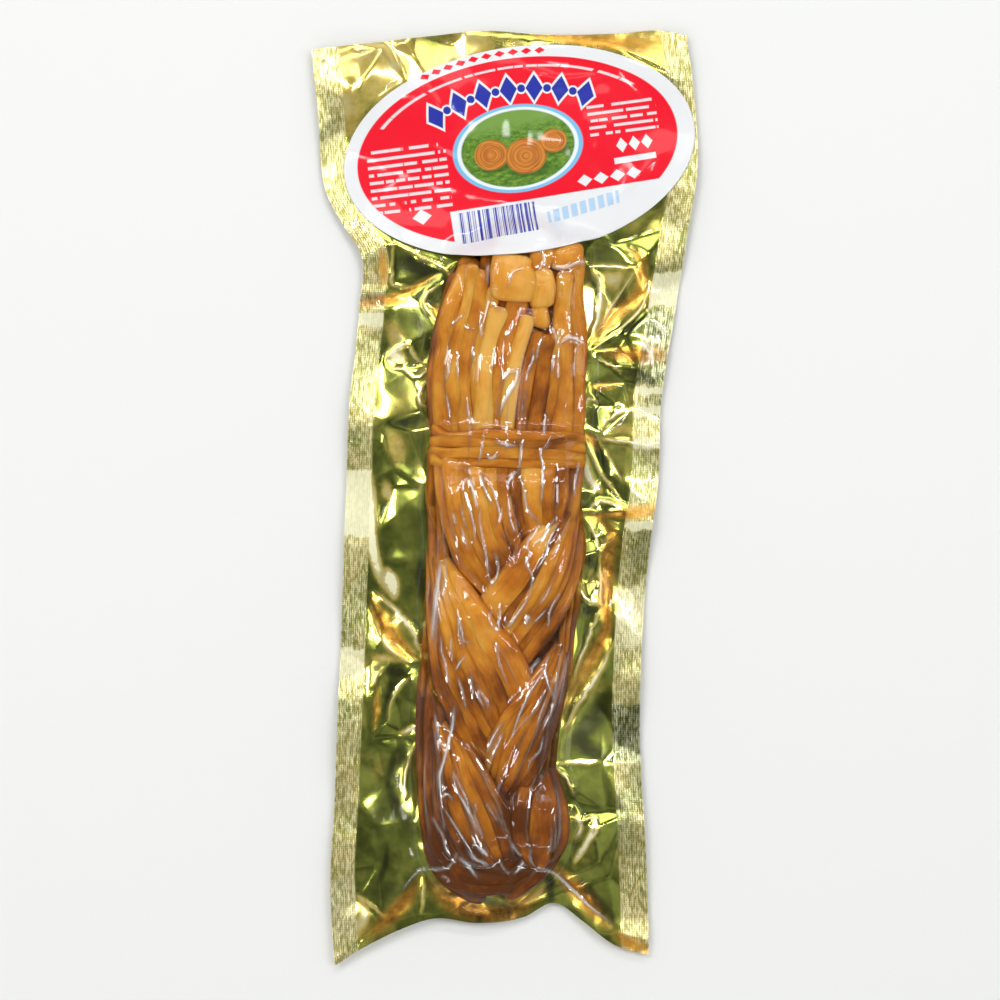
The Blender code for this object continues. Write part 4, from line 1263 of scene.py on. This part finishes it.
class Graph:
    """The nodes of a new material."""

    def __init__(self, name):
        self.material = bpy.data.materials.new(name)
        self.material.use_nodes = True
        self.tree = self.material.node_tree
        self.tree.nodes.clear()

    def add(self, kind, settings=None, values=None, output=0):
        """A node of a type, with its settings set first and its sockets given values or links."""
        node = self.tree.nodes.new("ShaderNode" + kind)
        for name, value in (settings or {}).items():
            if name == "stops":
                self.set_stops(node.color_ramp, value)
            else:
                setattr(node, name, value)
        for key, value in (values or {}).items():
            socket = node.inputs[key]
            if isinstance(value, Link):
                self.tree.links.new(value.socket, socket)
            else:
                socket.default_value = value
        return Link(self, node.outputs[output])

    def set_stops(self, ramp, stops):
        while len(ramp.elements) < len(stops):
            ramp.elements.new(0.5)
        for element, (place, colour) in zip(ramp.elements, stops):
            element.position = place
            element.color = (*colour, 1)

    def mix(self, factor, first, second):
        """A colour between two colours."""
        colours = [value if isinstance(value, Link) else (*value, 1) for value in (first, second)]
        return self.add("Mix", {"data_type": "RGBA"}, {0: factor, 6: colours[0], 7: colours[1]}, 2)

    def attribute(self, name):
        return self.add("Attribute", {"attribute_name": name}, output=2)

    def noise(self, vector, scale, detail=3.0, roughness=0.5):
        return self.add("TexNoise", values={"Vector": vector, "Scale": scale, "Detail": detail,
                                            "Roughness": roughness})

    def finish(self, shader):
        output = self.tree.nodes.new("ShaderNodeOutputMaterial")
        self.tree.links.new(shader.socket, output.inputs["Surface"])
        return self.material


# ---------------------------------------------------------------------------------------------
# Materials


def foil_material():
    """Gold foil with knurled seals: greenish where smooth, with painted white highlights on its bends
    and the cheese's amber reflection painted into its folds.
    """
    look = bpy.context.scene.cheese_pouch
    graph = Graph("gold_foil")
    place = graph.add("TexCoord", output=3)
    fold, seal = graph.attribute("fold"), graph.attribute("seal")
    sheen, inwards = graph.attribute("sheen"), graph.attribute("inwards")
    down = Link(graph, graph.add("SeparateXYZ", values={0: place}).socket.node.outputs[1])
    # tone follows the painted reflection map, broken up by noise: painted dark reflection, the foil's green and gold,
    # painted white highlight
    broken = graph.noise(place, 420.0, 3.0, 0.6) - 0.5
    tone = sheen * 0.5 + 0.5 + broken * 0.34
    colour = graph.add("ValToRGB", {"stops": [
        (0.04, look.dark_colour), (0.36, look.smooth_colour), (0.64, look.foil_colour),
        (0.92, look.painted_highlight_colour)]}, {0: tone})
    pale = tone.rise(0.74, 0.94)
    # the knurl's colour paints shade between its ribs and glints on them, in patches along the seal; the ribs also
    # bump it
    sparkle_patches = graph.noise(graph.add("Mapping", values={"Vector": place, "Scale": (1.0, 0.3, 1.0)}), 1500.0, 3.0, 0.65)
    lines = (inwards * (2 * math.pi / 0.62)).sine() + (down * (2 * math.pi / 0.00058)).sine() * 0.45
    knurl = lines * 0.4 + (sparkle_patches - 0.5) * 6.5
    knurl_shade_and_glints = graph.mix(knurl.rise(-0.8, 0.9), (0.14, 0.15, 0.03), look.painted_highlight_colour)
    colour = graph.mix(seal * 0.62 * (1 - pale * 0.75), colour, knurl_shade_and_glints)
    # the cheese's amber reflection painted into the folds, with painted dark and bright spots in it
    amber = graph.add("ValToRGB", {"stops": [
        (0.0, (0.13, 0.06, 0.01)), (0.34, look.fold_reflection_colour), (0.62, (0.86, 0.50, 0.07)),
        (0.86, look.foil_colour)]}, {0: tone * 0.6 + graph.noise(place, 520.0, 3.0, 0.6) * 0.9 - 0.3})
    colour = graph.mix(fold * (1 - pale * 0.5), colour, amber)
    crinkle = graph.noise(place, 200.0, 3.0, 0.55)
    normal = graph.add("Bump", values={
        "Strength": 0.5, "Distance": 0.00012, "Height": knurl * seal * 0.4 + crinkle * 0.3})
    metal = 1 - tone.rise(0.3, 0.75) * 0.45 - pale * 0.2 - fold * 0.2
    shader = graph.add("BsdfPrincipled", values={
        "Base Color": colour, "Metallic": metal.most(0.3), "Normal": normal,
        "Roughness": 0.12 + seal * 0.16 + pale * 0.26 + fold * 0.16})
    return graph.finish(shader)


def cheese_material(name="smoked_cheese"):
    """Smoked cheese: each string has its own tone, with fibres along it and darker grooves."""
    look = bpy.context.scene.cheese_strings
    graph = Graph(name)
    along, around = graph.attribute("along"), graph.attribute("around")
    number, tone = graph.attribute("number"), graph.attribute("tone")
    fibre_place = graph.add("CombineXYZ", values={0: along * 0.05, 1: around * 1.1, 2: number})
    fibres = graph.noise(fibre_place, 5.5, 5.0, 0.65)
    blotch_place = graph.add("CombineXYZ", values={0: along * 0.075, 1: around * 0.4, 2: number})
    blotches = graph.noise(blotch_place, 1.4, 3.0)
    place = graph.add("TexCoord", output=3)
    specks = graph.noise(place, 900.0, 2.0)
    shade = tone + 0.08 + (fibres - 0.5) * 0.34 + (blotches - 0.5) * 1.25 + (specks - 0.5) * 0.05
    colour = graph.add("ValToRGB", {"stops": [
        (0.0, look.deep_colour), (0.2, look.dark_colour), (0.46, look.middle_colour),
        (0.74, look.light_colour), (1.0, look.pale_colour)]}, {0: shade})
    grooves = graph.noise(fibre_place, 16.0, 4.0, 0.7)
    normal = graph.add("Bump", values={
        "Strength": 0.5, "Distance": 0.0004, "Height": fibres + grooves * 0.35})
    shader = graph.add("BsdfPrincipled", values={
        "Base Color": colour, "Roughness": 0.3 + grooves * 0.2, "Normal": normal,
        "Subsurface Weight": 0.22, "Subsurface Radius": (1.0, 0.36, 0.12),
        "Subsurface Scale": 0.0035, "IOR": 1.42, "Specular IOR Level": 0.15})
    return graph.finish(shader)


def film_material():
    """Clear film: see-through, with the sharp reflections of drawn plastic, milky with painted glints on wrinkles."""
    graph = Graph("clear_film")
    place = graph.add("TexCoord", output=3)
    wrinkle = graph.attribute("wrinkle")
    ripple = graph.noise(place, 150.0, 2.0, 0.5)
    stretched = graph.add("Mapping", values={"Vector": place, "Scale": (1.0, 0.10, 0.6)})
    streaks = graph.noise(stretched, 620.0, 3.0, 0.55)
    normal = graph.add("Bump", values={
        "Strength": 0.28, "Distance": 0.0006, "Height": ripple * 0.5 + streaks * 0.5})
    clear = graph.add("BsdfTransparent", values={"Color": (0.99, 0.985, 0.97, 1)})
    # wrinkles look whitish under any light: partly the milky crease of the plastic, partly a painted glint
    milky = wrinkle.rise(0.2, 0.75)
    gloss = graph.add("BsdfPrincipled", values={
        "Base Color": (0.96, 0.96, 0.95, 1), "Roughness": 0.06 + milky * 0.16,
        "Normal": normal, "Metallic": 1 - milky * 0.8})
    facing = graph.add("Fresnel", values={"IOR": 1.45, "Normal": normal})
    shine = (facing * 0.6 + wrinkle * (0.3 + streaks * 0.8)).least(0.88)
    return graph.finish(graph.add("MixShader", values={0: shine, 1: clear, 2: gloss}))


def ellipse(along, across, centre, half):
    """1 on an ellipse's outline, less inside it."""
    first, second = (along - centre[0]) / half[0], (across - centre[1]) / half[1]
    return (first * first + second * second) ** 0.5


def bar(value, centre, half, soft=0.12):
    """1 within half of centre along one direction, with soft sides."""
    return 1 - abs(value - centre).rise(half - soft, half + soft)


def label_material():
    """Printed label: a red field on white, an oval with a meadow, and plain bars for print."""
    look = bpy.context.scene.cheese_label
    graph = Graph("printed_label")
    place = graph.add("TexCoord", output=3)
    turned = graph.add("Mapping", {"vector_type": "TEXTURE"}, {
        "Vector": place, "Location": (LABEL_CENTRE[0] * MM, LABEL_CENTRE[1] * MM, 0),
        "Rotation": (0, 0, LABEL_TURN), "Scale": (MM, MM, MM)})
    axes = turned.graph.add("SeparateXYZ", values={0: turned})
    along = axes
    across = Link(graph, axes.socket.node.outputs[1])
    white, ink = look.paper_colour, look.ink_colour

    field = 1 - ellipse(along, across, (-0.5, 0.4), (43.1, 24.6)).rise(0.995, 1.005)
    cut = bar(across, -40, 27.0) * (along + 20.8).rise(-0.12, 0.12)
    field = field * (1 - cut)
    colour = graph.mix(field, white, look.field_colour)

    def part_of(value, pitch):
        return graph.add("Math", {"operation": "FRACT"}, {0: value / pitch + 50.5})

    # lines of print are rows of thin uneven dashes
    def dashes(x, row, seed):
        spot = graph.add("CombineXYZ", values={0: x * 0.42, 1: row * 3.1, 2: seed})
        return graph.noise(spot, 1.0, 1.0).rise(0.40, 0.43)

    def print_lines(centre, half, rows, seed, tilt):
        x = along - centre[0] - (across - centre[1]) * tilt
        y = across - centre[1] + (along - centre[0]) * tilt
        pitch = 2 * half[1] / rows
        row = graph.add("Math", {"operation": "FLOOR"}, {0: y / pitch + 50.5})
        inside = bar(x, 0, half[0]) * bar(y, 0, half[1])
        return inside * bar(part_of(y, pitch), 0.5, 0.2, 0.06) * dashes(x, row, seed)

    # rows of lozenges: count of them at a pitch, each half[0] by half[1] to its points
    def lozenges(centre, count, pitch, half):
        x, y = along - centre[0], across - centre[1]
        step = abs(part_of(x + (count - 1) * pitch / 2, pitch) - 0.5) * pitch
        shape = step / half[0] + abs(y) / half[1]
        return (1 - shape.rise(0.92, 1.08)) * bar(x, 0, count * pitch / 2, 0.05)

    plain = print_lines((-30.2, -2.6), (10.6, 9.2), 9, 3.0, 0.03)
    plain = plain.most(print_lines((28.6, 4.8), (9.2, 4.7), 5, 8.0, 0.02)) * 0.85
    plain = plain.most(lozenges((30.6, -2.6), 3, 3.4, (1.5, 2.0)))
    plain = plain.most(bar(along, 30.2, 5.6) * bar(across, -6.6, 0.8))
    plain = plain.most(lozenges((22.6, -10.4), 4, 4.4, (2.0, 1.6)))
    plain = plain.most(lozenges((-28.4, -13.2), 1, 6.0, (2.6, 2.1)))
    colour = graph.mix(plain * field, colour, white)

    # a thin row of dashes under the top of the field
    rim_line = ellipse(along, across, (-0.5, -0.4), (40.9, 23.0))
    turn = graph.add("Math", {"operation": "ARCTAN2"}, {0: across / 23.0, 1: along / 40.9})
    thin = bar(rim_line, 1, 0.013, 0.006) * bar(turn, 1.62, 1.0, 0.02) * dashes(turn * 34, 0, 5.0)
    colour = graph.mix(thin * 0.85, colour, white)

    # a row of red lozenges on the rim at the top
    rim = ellipse(along, across, (-0.5, 0.2), (45.4, 26.4))
    bead = abs(part_of(turn, 0.076) - 0.5) * 2.2 + abs(rim - 1) * 28
    beads = (1 - bead.rise(0.85, 0.98)) * bar(turn, 1.71, 0.38, 0.002)
    colour = graph.mix(beads, colour, look.field_colour)

    # a row of blue lozenges on an arc, with blue discs between them, all with white edges
    swing = graph.add("Math", {"operation": "ARCTAN2"}, {0: along + 0.4, 1: across + 33.7})
    away = ellipse(along, across, (-0.4, -33.7), (1.0, 1.0)) - 50.4
    step = abs(part_of(swing, 0.1375) - 0.5) * 7.0
    lozenge = step / 3.0 + abs(away) / 4.6
    gap = 3.5 - step
    disc = ((gap / 1.5) ** 2 + (away / 1.5) ** 2) ** 0.5 + abs(swing).rise(0.425, 0.435) * 9
    within = bar(swing, 0, 0.481, 0.002)
    colour = graph.mix((1 - lozenge.least(disc).rise(0.96, 1.06)) * within, colour, white)
    colour = graph.mix((1 - (lozenge * 1.3).least(disc * 1.45).rise(0.96, 1.06)) * within, colour, ink)

    # the oval: a light blue ring, a white one, and a meadow with bales
    oval = ellipse(along, across, (-0.3, 0.9), (17.4, 11.6))
    colour = graph.mix(1 - oval.rise(0.99, 1.02), colour, look.ring_colour)
    colour = graph.mix(1 - oval.rise(0.925, 0.95), colour, (0.86, 0.92, 0.97))
    meadow_noise = graph.noise(graph.add("CombineXYZ", values={0: along * 0.5, 1: across * 1.1}), 1.0, 5.0, 0.7)
    meadow = graph.mix(meadow_noise.rise(0.35, 0.7), look.grass_colour, (0.24, 0.40, 0.05))
    meadow = graph.mix((across - along * 0.05).rise(4.5, 8.5), meadow, (0.20, 0.36, 0.07))
    inside = 1 - oval.rise(0.86, 0.89)
    colour = graph.mix(inside, colour, meadow)
    for centre, radius in (((-7.6, 0.2), (4.6, 4.1)), ((1.6, -1.4), (5.6, 4.8)), ((9.4, 1.4), (3.6, 3.2))):
        bale = ellipse(along, across, centre, radius)
        spin = graph.noise(graph.add("CombineXYZ", values={0: bale * 9.0, 1: along * 0.2}), 1.0, 3.0)
        straw = graph.mix(spin.rise(0.35, 0.7), look.bale_colour, (0.40, 0.11, 0.02))
        shadow = ellipse(along, across, (centre[0] + 0.8, centre[1] - radius[1] * 0.8),
                         (radius[0] * 1.1, radius[1] * 0.4))
        colour = graph.mix((1 - shadow.rise(0.7, 1.1)) * inside * 0.7, colour, (0.04, 0.10, 0.012))
        colour = graph.mix((1 - bale.rise(0.93, 1.03)) * inside, colour, straw)

    # stripes and dashes on the white strip below the field
    stripe_place = along + across * -0.02
    strip = bar(stripe_place, -8.2, 10.2) * bar(across, -18.0, 4.3)
    coarse = graph.add("CombineXYZ", values={0: stripe_place * 1.35, 1: 3.0})
    stripes = graph.noise(coarse, 1.0, 2.0, 0.9).rise(0.47, 0.53)
    colour = graph.mix(strip * (1 - stripes), colour, ink)
    tilted = across - (along - 14) * 0.14
    blue_bars = bar(part_of(along - 14.5, 2.45), 0.5, 0.34, 0.05) * bar(along, 14.5, 9.8)
    colour = graph.mix(blue_bars * bar(tilted, -17.4, 1.7) * 0.75, colour, (0.36, 0.62, 0.92))

    paper = graph.noise(place, 1600.0, 2.0)
    normal = graph.add("Bump", values={"Strength": 0.12, "Distance": 0.0001, "Height": paper})
    shader = graph.add("BsdfPrincipled", values={
        "Base Color": colour, "Roughness": 0.34 + paper * 0.08, "Normal": normal,
        "Specular IOR Level": 0.12, "Coat Weight": 0.6, "Coat Roughness": 0.07})
    return graph.finish(shader)


def floor_material():
    look = bpy.context.scene.cheese_stage
    graph = Graph("pale_floor")
    place = graph.add("TexCoord", output=3)
    colour = graph.mix(graph.noise(place, 3.0) * 0.06, look.floor_colour, (0.8, 0.8, 0.8))
    distance = graph.add("VectorMath", {"operation": "LENGTH"}, {0: place}, 1)
    glow = graph.mix(distance.rise(0.6, 3.0), (0, 0, 0), (0.55, 0.55, 0.55))
    shader = graph.add("BsdfPrincipled", values={
        "Base Color": colour, "Roughness": 0.75, "Emission Color": glow, "Emission Strength": 1.0})
    return graph.finish(shader)


# ---------------------------------------------------------------------------------------------
# Operators


class MakeBackingFoil(bpy.types.Operator):
    """Make the creased gold foil with its ribbed seals"""

    bl_idname = "cheese.make_backing_foil"
    bl_label = "Backing foil"

    def execute(self, context):
        columns = mirrored_columns(20, 0.27, 40, 106)
        plan, inwards = web_points(columns)
        x, y = plan.T
        height = foil_raster()
        z = read_raster(height, x, y) + rib_height(inwards)
        # hollows and the listed folds get the cheese's amber reflection painted in
        hollow_reflection = np.clip((averaged(height, 12) - height) * 1.4 - 0.3, 0, 0.35)
        amber = np.maximum(averaged(hollow_reflection, 2), averaged(amber_raster()[0], 1))
        seal = 1 - smooth_step(6.8, 7.3, inwards)
        sheen = read_raster(sheen_raster(), x, y)
        sheen += (seal_sheen(x, y, inwards) - sheen) * seal
        attributes = {"fold": read_raster(amber, x, y), "seal": seal, "sheen": sheen, "inwards": inwards}
        faces = grid_faces(ROWS + 1, len(columns))
        foil = new_object("foil_back", np.column_stack([plan, z]), faces, attributes, foil_material())
        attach(foil, "root")
        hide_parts("backing_foil")
        return {"FINISHED"}


def place_cheese(piece, *nodes):
    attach(piece, "root")
    if nodes:
        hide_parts(*nodes)


class MakePlait(bpy.types.Operator):
    """Make the three strands of strings below the tie"""

    bl_idname = "cheese.make_plait"
    bl_label = "Plaited strings"

    def execute(self, context):
        made = strings_object("plait_strings", plait_strings(), cheese_material())
        place_cheese(made, "plait_in_film")
        return {"FINISHED"}


class MakeCore(bpy.types.Operator):
    """Make the inside of the plait that shows between its strings, darkened as painted shade"""

    bl_idname = "cheese.make_core"
    bl_label = "Core"

    def execute(self, context):
        y = np.linspace(TAIL_END - 4, BRAID_END + 4, 150)
        turn = np.linspace(0, 2 * math.pi, 28, endpoint=False)
        middle, half = plait_middle_and_half(y)
        reach = half * rounding_at(y) * 0.93
        top = 10.5 * rounding_at(y)
        power = 0.62
        cosine = np.sign(np.cos(turn)) * np.abs(np.cos(turn)) ** power
        sine = np.sign(np.sin(turn)) * np.abs(np.sin(turn)) ** power
        x = middle[:, None] + reach[:, None] * cosine
        z = 1.2 + top[:, None] * (0.5 + 0.5 * sine)
        y = np.repeat(y[:, None], len(turn), axis=1)
        z = np.minimum(z, np.maximum(read_raster(smoothed_cheese(), x, y) - 2.2, 1.2))
        vertices = rested(np.stack([x, y, z], axis=-1).reshape(-1, 3))
        faces = grid_faces(len(x), len(turn), wrap=True).tolist()
        faces.append(list(range(len(turn) - 1, -1, -1)))
        faces.append([(len(x) - 1) * len(turn) + n for n in range(len(turn))])
        # the core's low tone is painted shade in the gaps between strings
        attributes = {"along": vertices[:, 1], "around": vertices[:, 0] * 0.3,
                      "tone": np.full(len(vertices), 0.14), "number": np.zeros(len(vertices))}
        core = bpy.data.meshes.new("cheese_core")
        core.from_pydata((vertices * MM).tolist(), [], faces)
        for title, values in attributes.items():
            layer = core.attributes.new(title, "FLOAT", "POINT")
            layer.data.foreach_set("value", np.asarray(values, np.float32))
        core.shade_smooth()
        core.materials.append(bpy.data.materials["smoked_cheese"])
        piece = bpy.data.objects.new("cheese_core", core)
        context.scene.collection.objects.link(piece)
        place_cheese(piece)
        return {"FINISHED"}


class MakeTail(bpy.types.Operator):
    """Make the loose cut strings above the tie and the folded ends on them"""

    bl_idname = "cheese.make_tail"
    bl_label = "Tail strings"

    def execute(self, context):
        place_cheese(strings_object("tail_strings", tail_strings(), bpy.data.materials["smoked_cheese"]))
        place_cheese(strings_object("folded_ends", folded_ends(), bpy.data.materials["smoked_cheese"]))
        return {"FINISHED"}


class MakeTie(bpy.types.Operator):
    """Make the string wound round the neck"""

    bl_idname = "cheese.make_tie"
    bl_label = "Tie"

    def execute(self, context):
        place_cheese(strings_object("tie_string", tie_strings(), bpy.data.materials["smoked_cheese"], True))
        return {"FINISHED"}


class MakeFilm(bpy.types.Operator):
    """Make the clear film drawn tight over the plait and down to the foil"""

    bl_idname = "cheese.make_film"
    bl_label = "Clear film"

    def execute(self, context):
        columns = mirrored_columns(5, 0.22, 12, 190)
        plan, _ = web_points(columns)
        height, wrinkles = film_rasters()
        z = read_raster(height, plan[:, 0], plan[:, 1])
        wrinkle = read_raster(wrinkles, plan[:, 0], plan[:, 1])
        faces = grid_faces(ROWS + 1, len(columns))
        film = new_object("clear_film", np.column_stack([plan, z]), faces, {"wrinkle": wrinkle},
                          film_material())
        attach(film, "root")
        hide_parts("plait_in_film")
        return {"FINISHED"}


class MakeLabel(bpy.types.Operator):
    """Make the oval label that lies on the film"""

    bl_idname = "cheese.make_label"
    bl_label = "Label"

    def execute(self, context):
        rows, columns = 120, 190
        v, u = np.meshgrid(np.linspace(-1, 1, rows), np.linspace(-1, 1, columns), indexing="ij")
        along = (LABEL_LENGTH / 2 * u * np.sqrt(1 - v * v / 2)).ravel()
        across = (LABEL_WIDTH / 2 * v * np.sqrt(1 - u * u / 2)).ravel()
        cosine, sine = math.cos(LABEL_TURN), math.sin(LABEL_TURN)
        x = LABEL_CENTRE[0] + along * cosine - across * sine
        y = LABEL_CENTRE[1] + along * sine + across * cosine
        z = read_raster(label_bed(), x, y) + 0.12
        label = new_object("oval_label", np.column_stack([x, y, z]), grid_faces(rows, columns),
                           material=label_material())
        solidify(label, context.scene.cheese_label.thickness, 1)
        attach(label, "root")
        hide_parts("label")
        return {"FINISHED"}


# name, place (x, y, z), size (x, y) in metres, power in watts, colour
LAMPS = [
    ("left_panel", (-0.88, 0.30, 0.95), (0.2, 0.6), 1.2, (1.0, 1.0, 0.98)),
    ("right_panel", (0.92, -0.05, 0.92), (0.2, 0.6), 1.15, (1.0, 1.0, 0.98)),
    ("key_strip", (-0.46, 0.42, 1.16), (0.05, 0.55), 3.4, (1.0, 0.99, 0.97)),
    ("fill_strip", (0.58, 0.22, 1.10), (0.05, 0.55), 2.9, (0.97, 0.99, 1.0)),
    ("low_strip", (-0.66, -0.45, 1.0), (0.05, 0.5), 1.6, (1.0, 0.99, 0.97)),
    ("back_strip", (0.12, 0.92, 1.0), (0.7, 0.07), 2.9, (1.0, 1.0, 1.0)),
    ("front_strip", (-0.1, -1.0, 0.8), (0.7, 0.07), 1.3, (0.93, 0.97, 1.0)),
    ("top_panel", (-0.05, 0.62, 1.2), (1.0, 0.22), 1.8, (1.0, 1.0, 0.98)),
    ("label_glare", (-0.045, 0.267, 1.2), (0.06, 0.05), 0.2, (1.0, 1.0, 1.0)),
]


class MakeStage(bpy.types.Operator):
    """Make the floor, the soft lamps, the surroundings and the camera"""

    bl_idname = "cheese.make_stage"
    bl_label = "Stage"

    def execute(self, context):
        look = context.scene.cheese_stage
        edge, drop = 6000.0, -0.05
        corners = [(-edge, -edge, drop), (edge, -edge, drop), (edge, edge, drop), (-edge, edge, drop)]
        floor = new_object("floor", corners, [[0, 1, 2, 3]], material=floor_material())
        floor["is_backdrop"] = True
        for name, place, size, power, colour in LAMPS:
            lamp = bpy.data.lights.new(name, "AREA")
            lamp.shape = "RECTANGLE"
            lamp.size, lamp.size_y = size
            lamp.energy = power * look.lamp_power
            lamp.color = colour
            holder = bpy.data.objects.new(name, lamp)
            holder.location = place
            holder.rotation_euler = (-Vector(place)).to_track_quat("-Z", "Y").to_euler()
            context.scene.collection.objects.link(holder)
        self.set_surroundings(context)
        self.set_camera(context, look)
        context.scene.view_settings.view_transform = "Standard"
        return {"FINISHED"}

    def set_surroundings(self, context):
        world = bpy.data.worlds.new("surroundings")
        context.scene.world = world
        world.use_nodes = True
        tree = world.node_tree
        tree.nodes.clear()
        graph = Graph.__new__(Graph)
        graph.material, graph.tree = world, tree
        direction = graph.add("TexCoord", output=0)
        axes = graph.add("SeparateXYZ", values={0: direction})
        height = Link(graph, axes.socket.node.outputs[2])
        shade = graph.add("ValToRGB", {"stops": [
            (0.0, (0.70, 0.70, 0.70)), (0.3, (0.58, 0.58, 0.58)), (0.5, (0.29, 0.29, 0.29)),
            (0.75, (0.17, 0.17, 0.16)), (1.0, (0.10, 0.11, 0.09))]}, {0: height})
        clouds = graph.noise(direction, 2.6, 2.0).rise(0.34, 0.66)
        overhead = height.rise(0.5, 0.8)
        shade = graph.mix(overhead * clouds * 0.75, shade, (0.50, 0.52, 0.46))
        shade = graph.mix(overhead * (1 - clouds) * 0.6, shade, (0.05, 0.055, 0.045))
        backdrop = graph.add("Background", values={0: shade, 1: 1.0})
        output = tree.nodes.new("ShaderNodeOutputWorld")
        tree.links.new(backdrop.socket, output.inputs["Surface"])

    def set_camera(self, context, look):
        camera = bpy.data.cameras.new("camera")
        camera.sensor_width = 36
        camera.lens = 36 * look.camera_height / look.view_width
        camera.clip_end = 100
        holder = bpy.data.objects.new("camera", camera)
        holder.location = (-0.0013, -0.0004, look.camera_height + 0.008)
        context.scene.collection.objects.link(holder)
        context.scene.camera = holder


class CheesePanel(bpy.types.Panel):
    """The pieces of the cheese and its pouch"""

    bl_idname = "VIEW3D_PT_cheese"
    bl_label = "Braided string cheese"
    bl_space_type = "VIEW_3D"
    bl_region_type = "UI"
    bl_category = "Cheese"

    def draw(self, context):
        for name in SETTINGS:
            box = self.layout.box()
            group = getattr(context.scene, name)
            for setting in group.bl_rna.properties:
                if setting.identifier not in ("rna_type", "name"):
                    box.prop(group, setting.identifier)
        for operator in OPERATORS:
            self.layout.operator(operator.bl_idname)


SETTINGS = {
    "cheese_pouch": PouchSettings,
    "cheese_strings": CheeseSettings,
    "cheese_label": LabelSettings,
    "cheese_stage": StageSettings,
}
OPERATORS = (MakeStage, MakeBackingFoil, MakePlait, MakeCore, MakeTail, MakeTie, MakeFilm, MakeLabel)


def register():
    for group in SETTINGS.values():
        bpy.utils.register_class(group)
    for name, group in SETTINGS.items():
        setattr(bpy.types.Scene, name, bpy.props.PointerProperty(type=group))
    for shown in (*OPERATORS, CheesePanel):
        bpy.utils.register_class(shown)


def unregister():
    for shown in (CheesePanel, *reversed(OPERATORS)):
        bpy.utils.unregister_class(shown)
    for name in SETTINGS:
        delattr(bpy.types.Scene, name)
    for group in SETTINGS.values():
        bpy.utils.unregister_class(group)


def main():
    register()
    bpy.ops.cheese.make_stage()
    bpy.ops.cheese.make_backing_foil()
    bpy.ops.cheese.make_plait()
    bpy.ops.cheese.make_core()
    bpy.ops.cheese.make_tail()
    bpy.ops.cheese.make_tie()
    bpy.ops.cheese.make_film()
    bpy.ops.cheese.make_label()
    boxes = {"cad": CAD_BOX, "visual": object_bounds()}
    sizes = {name: [list(corner) for corner in box] for name, box in boxes.items()}


if __name__ == "__main__":
    main()
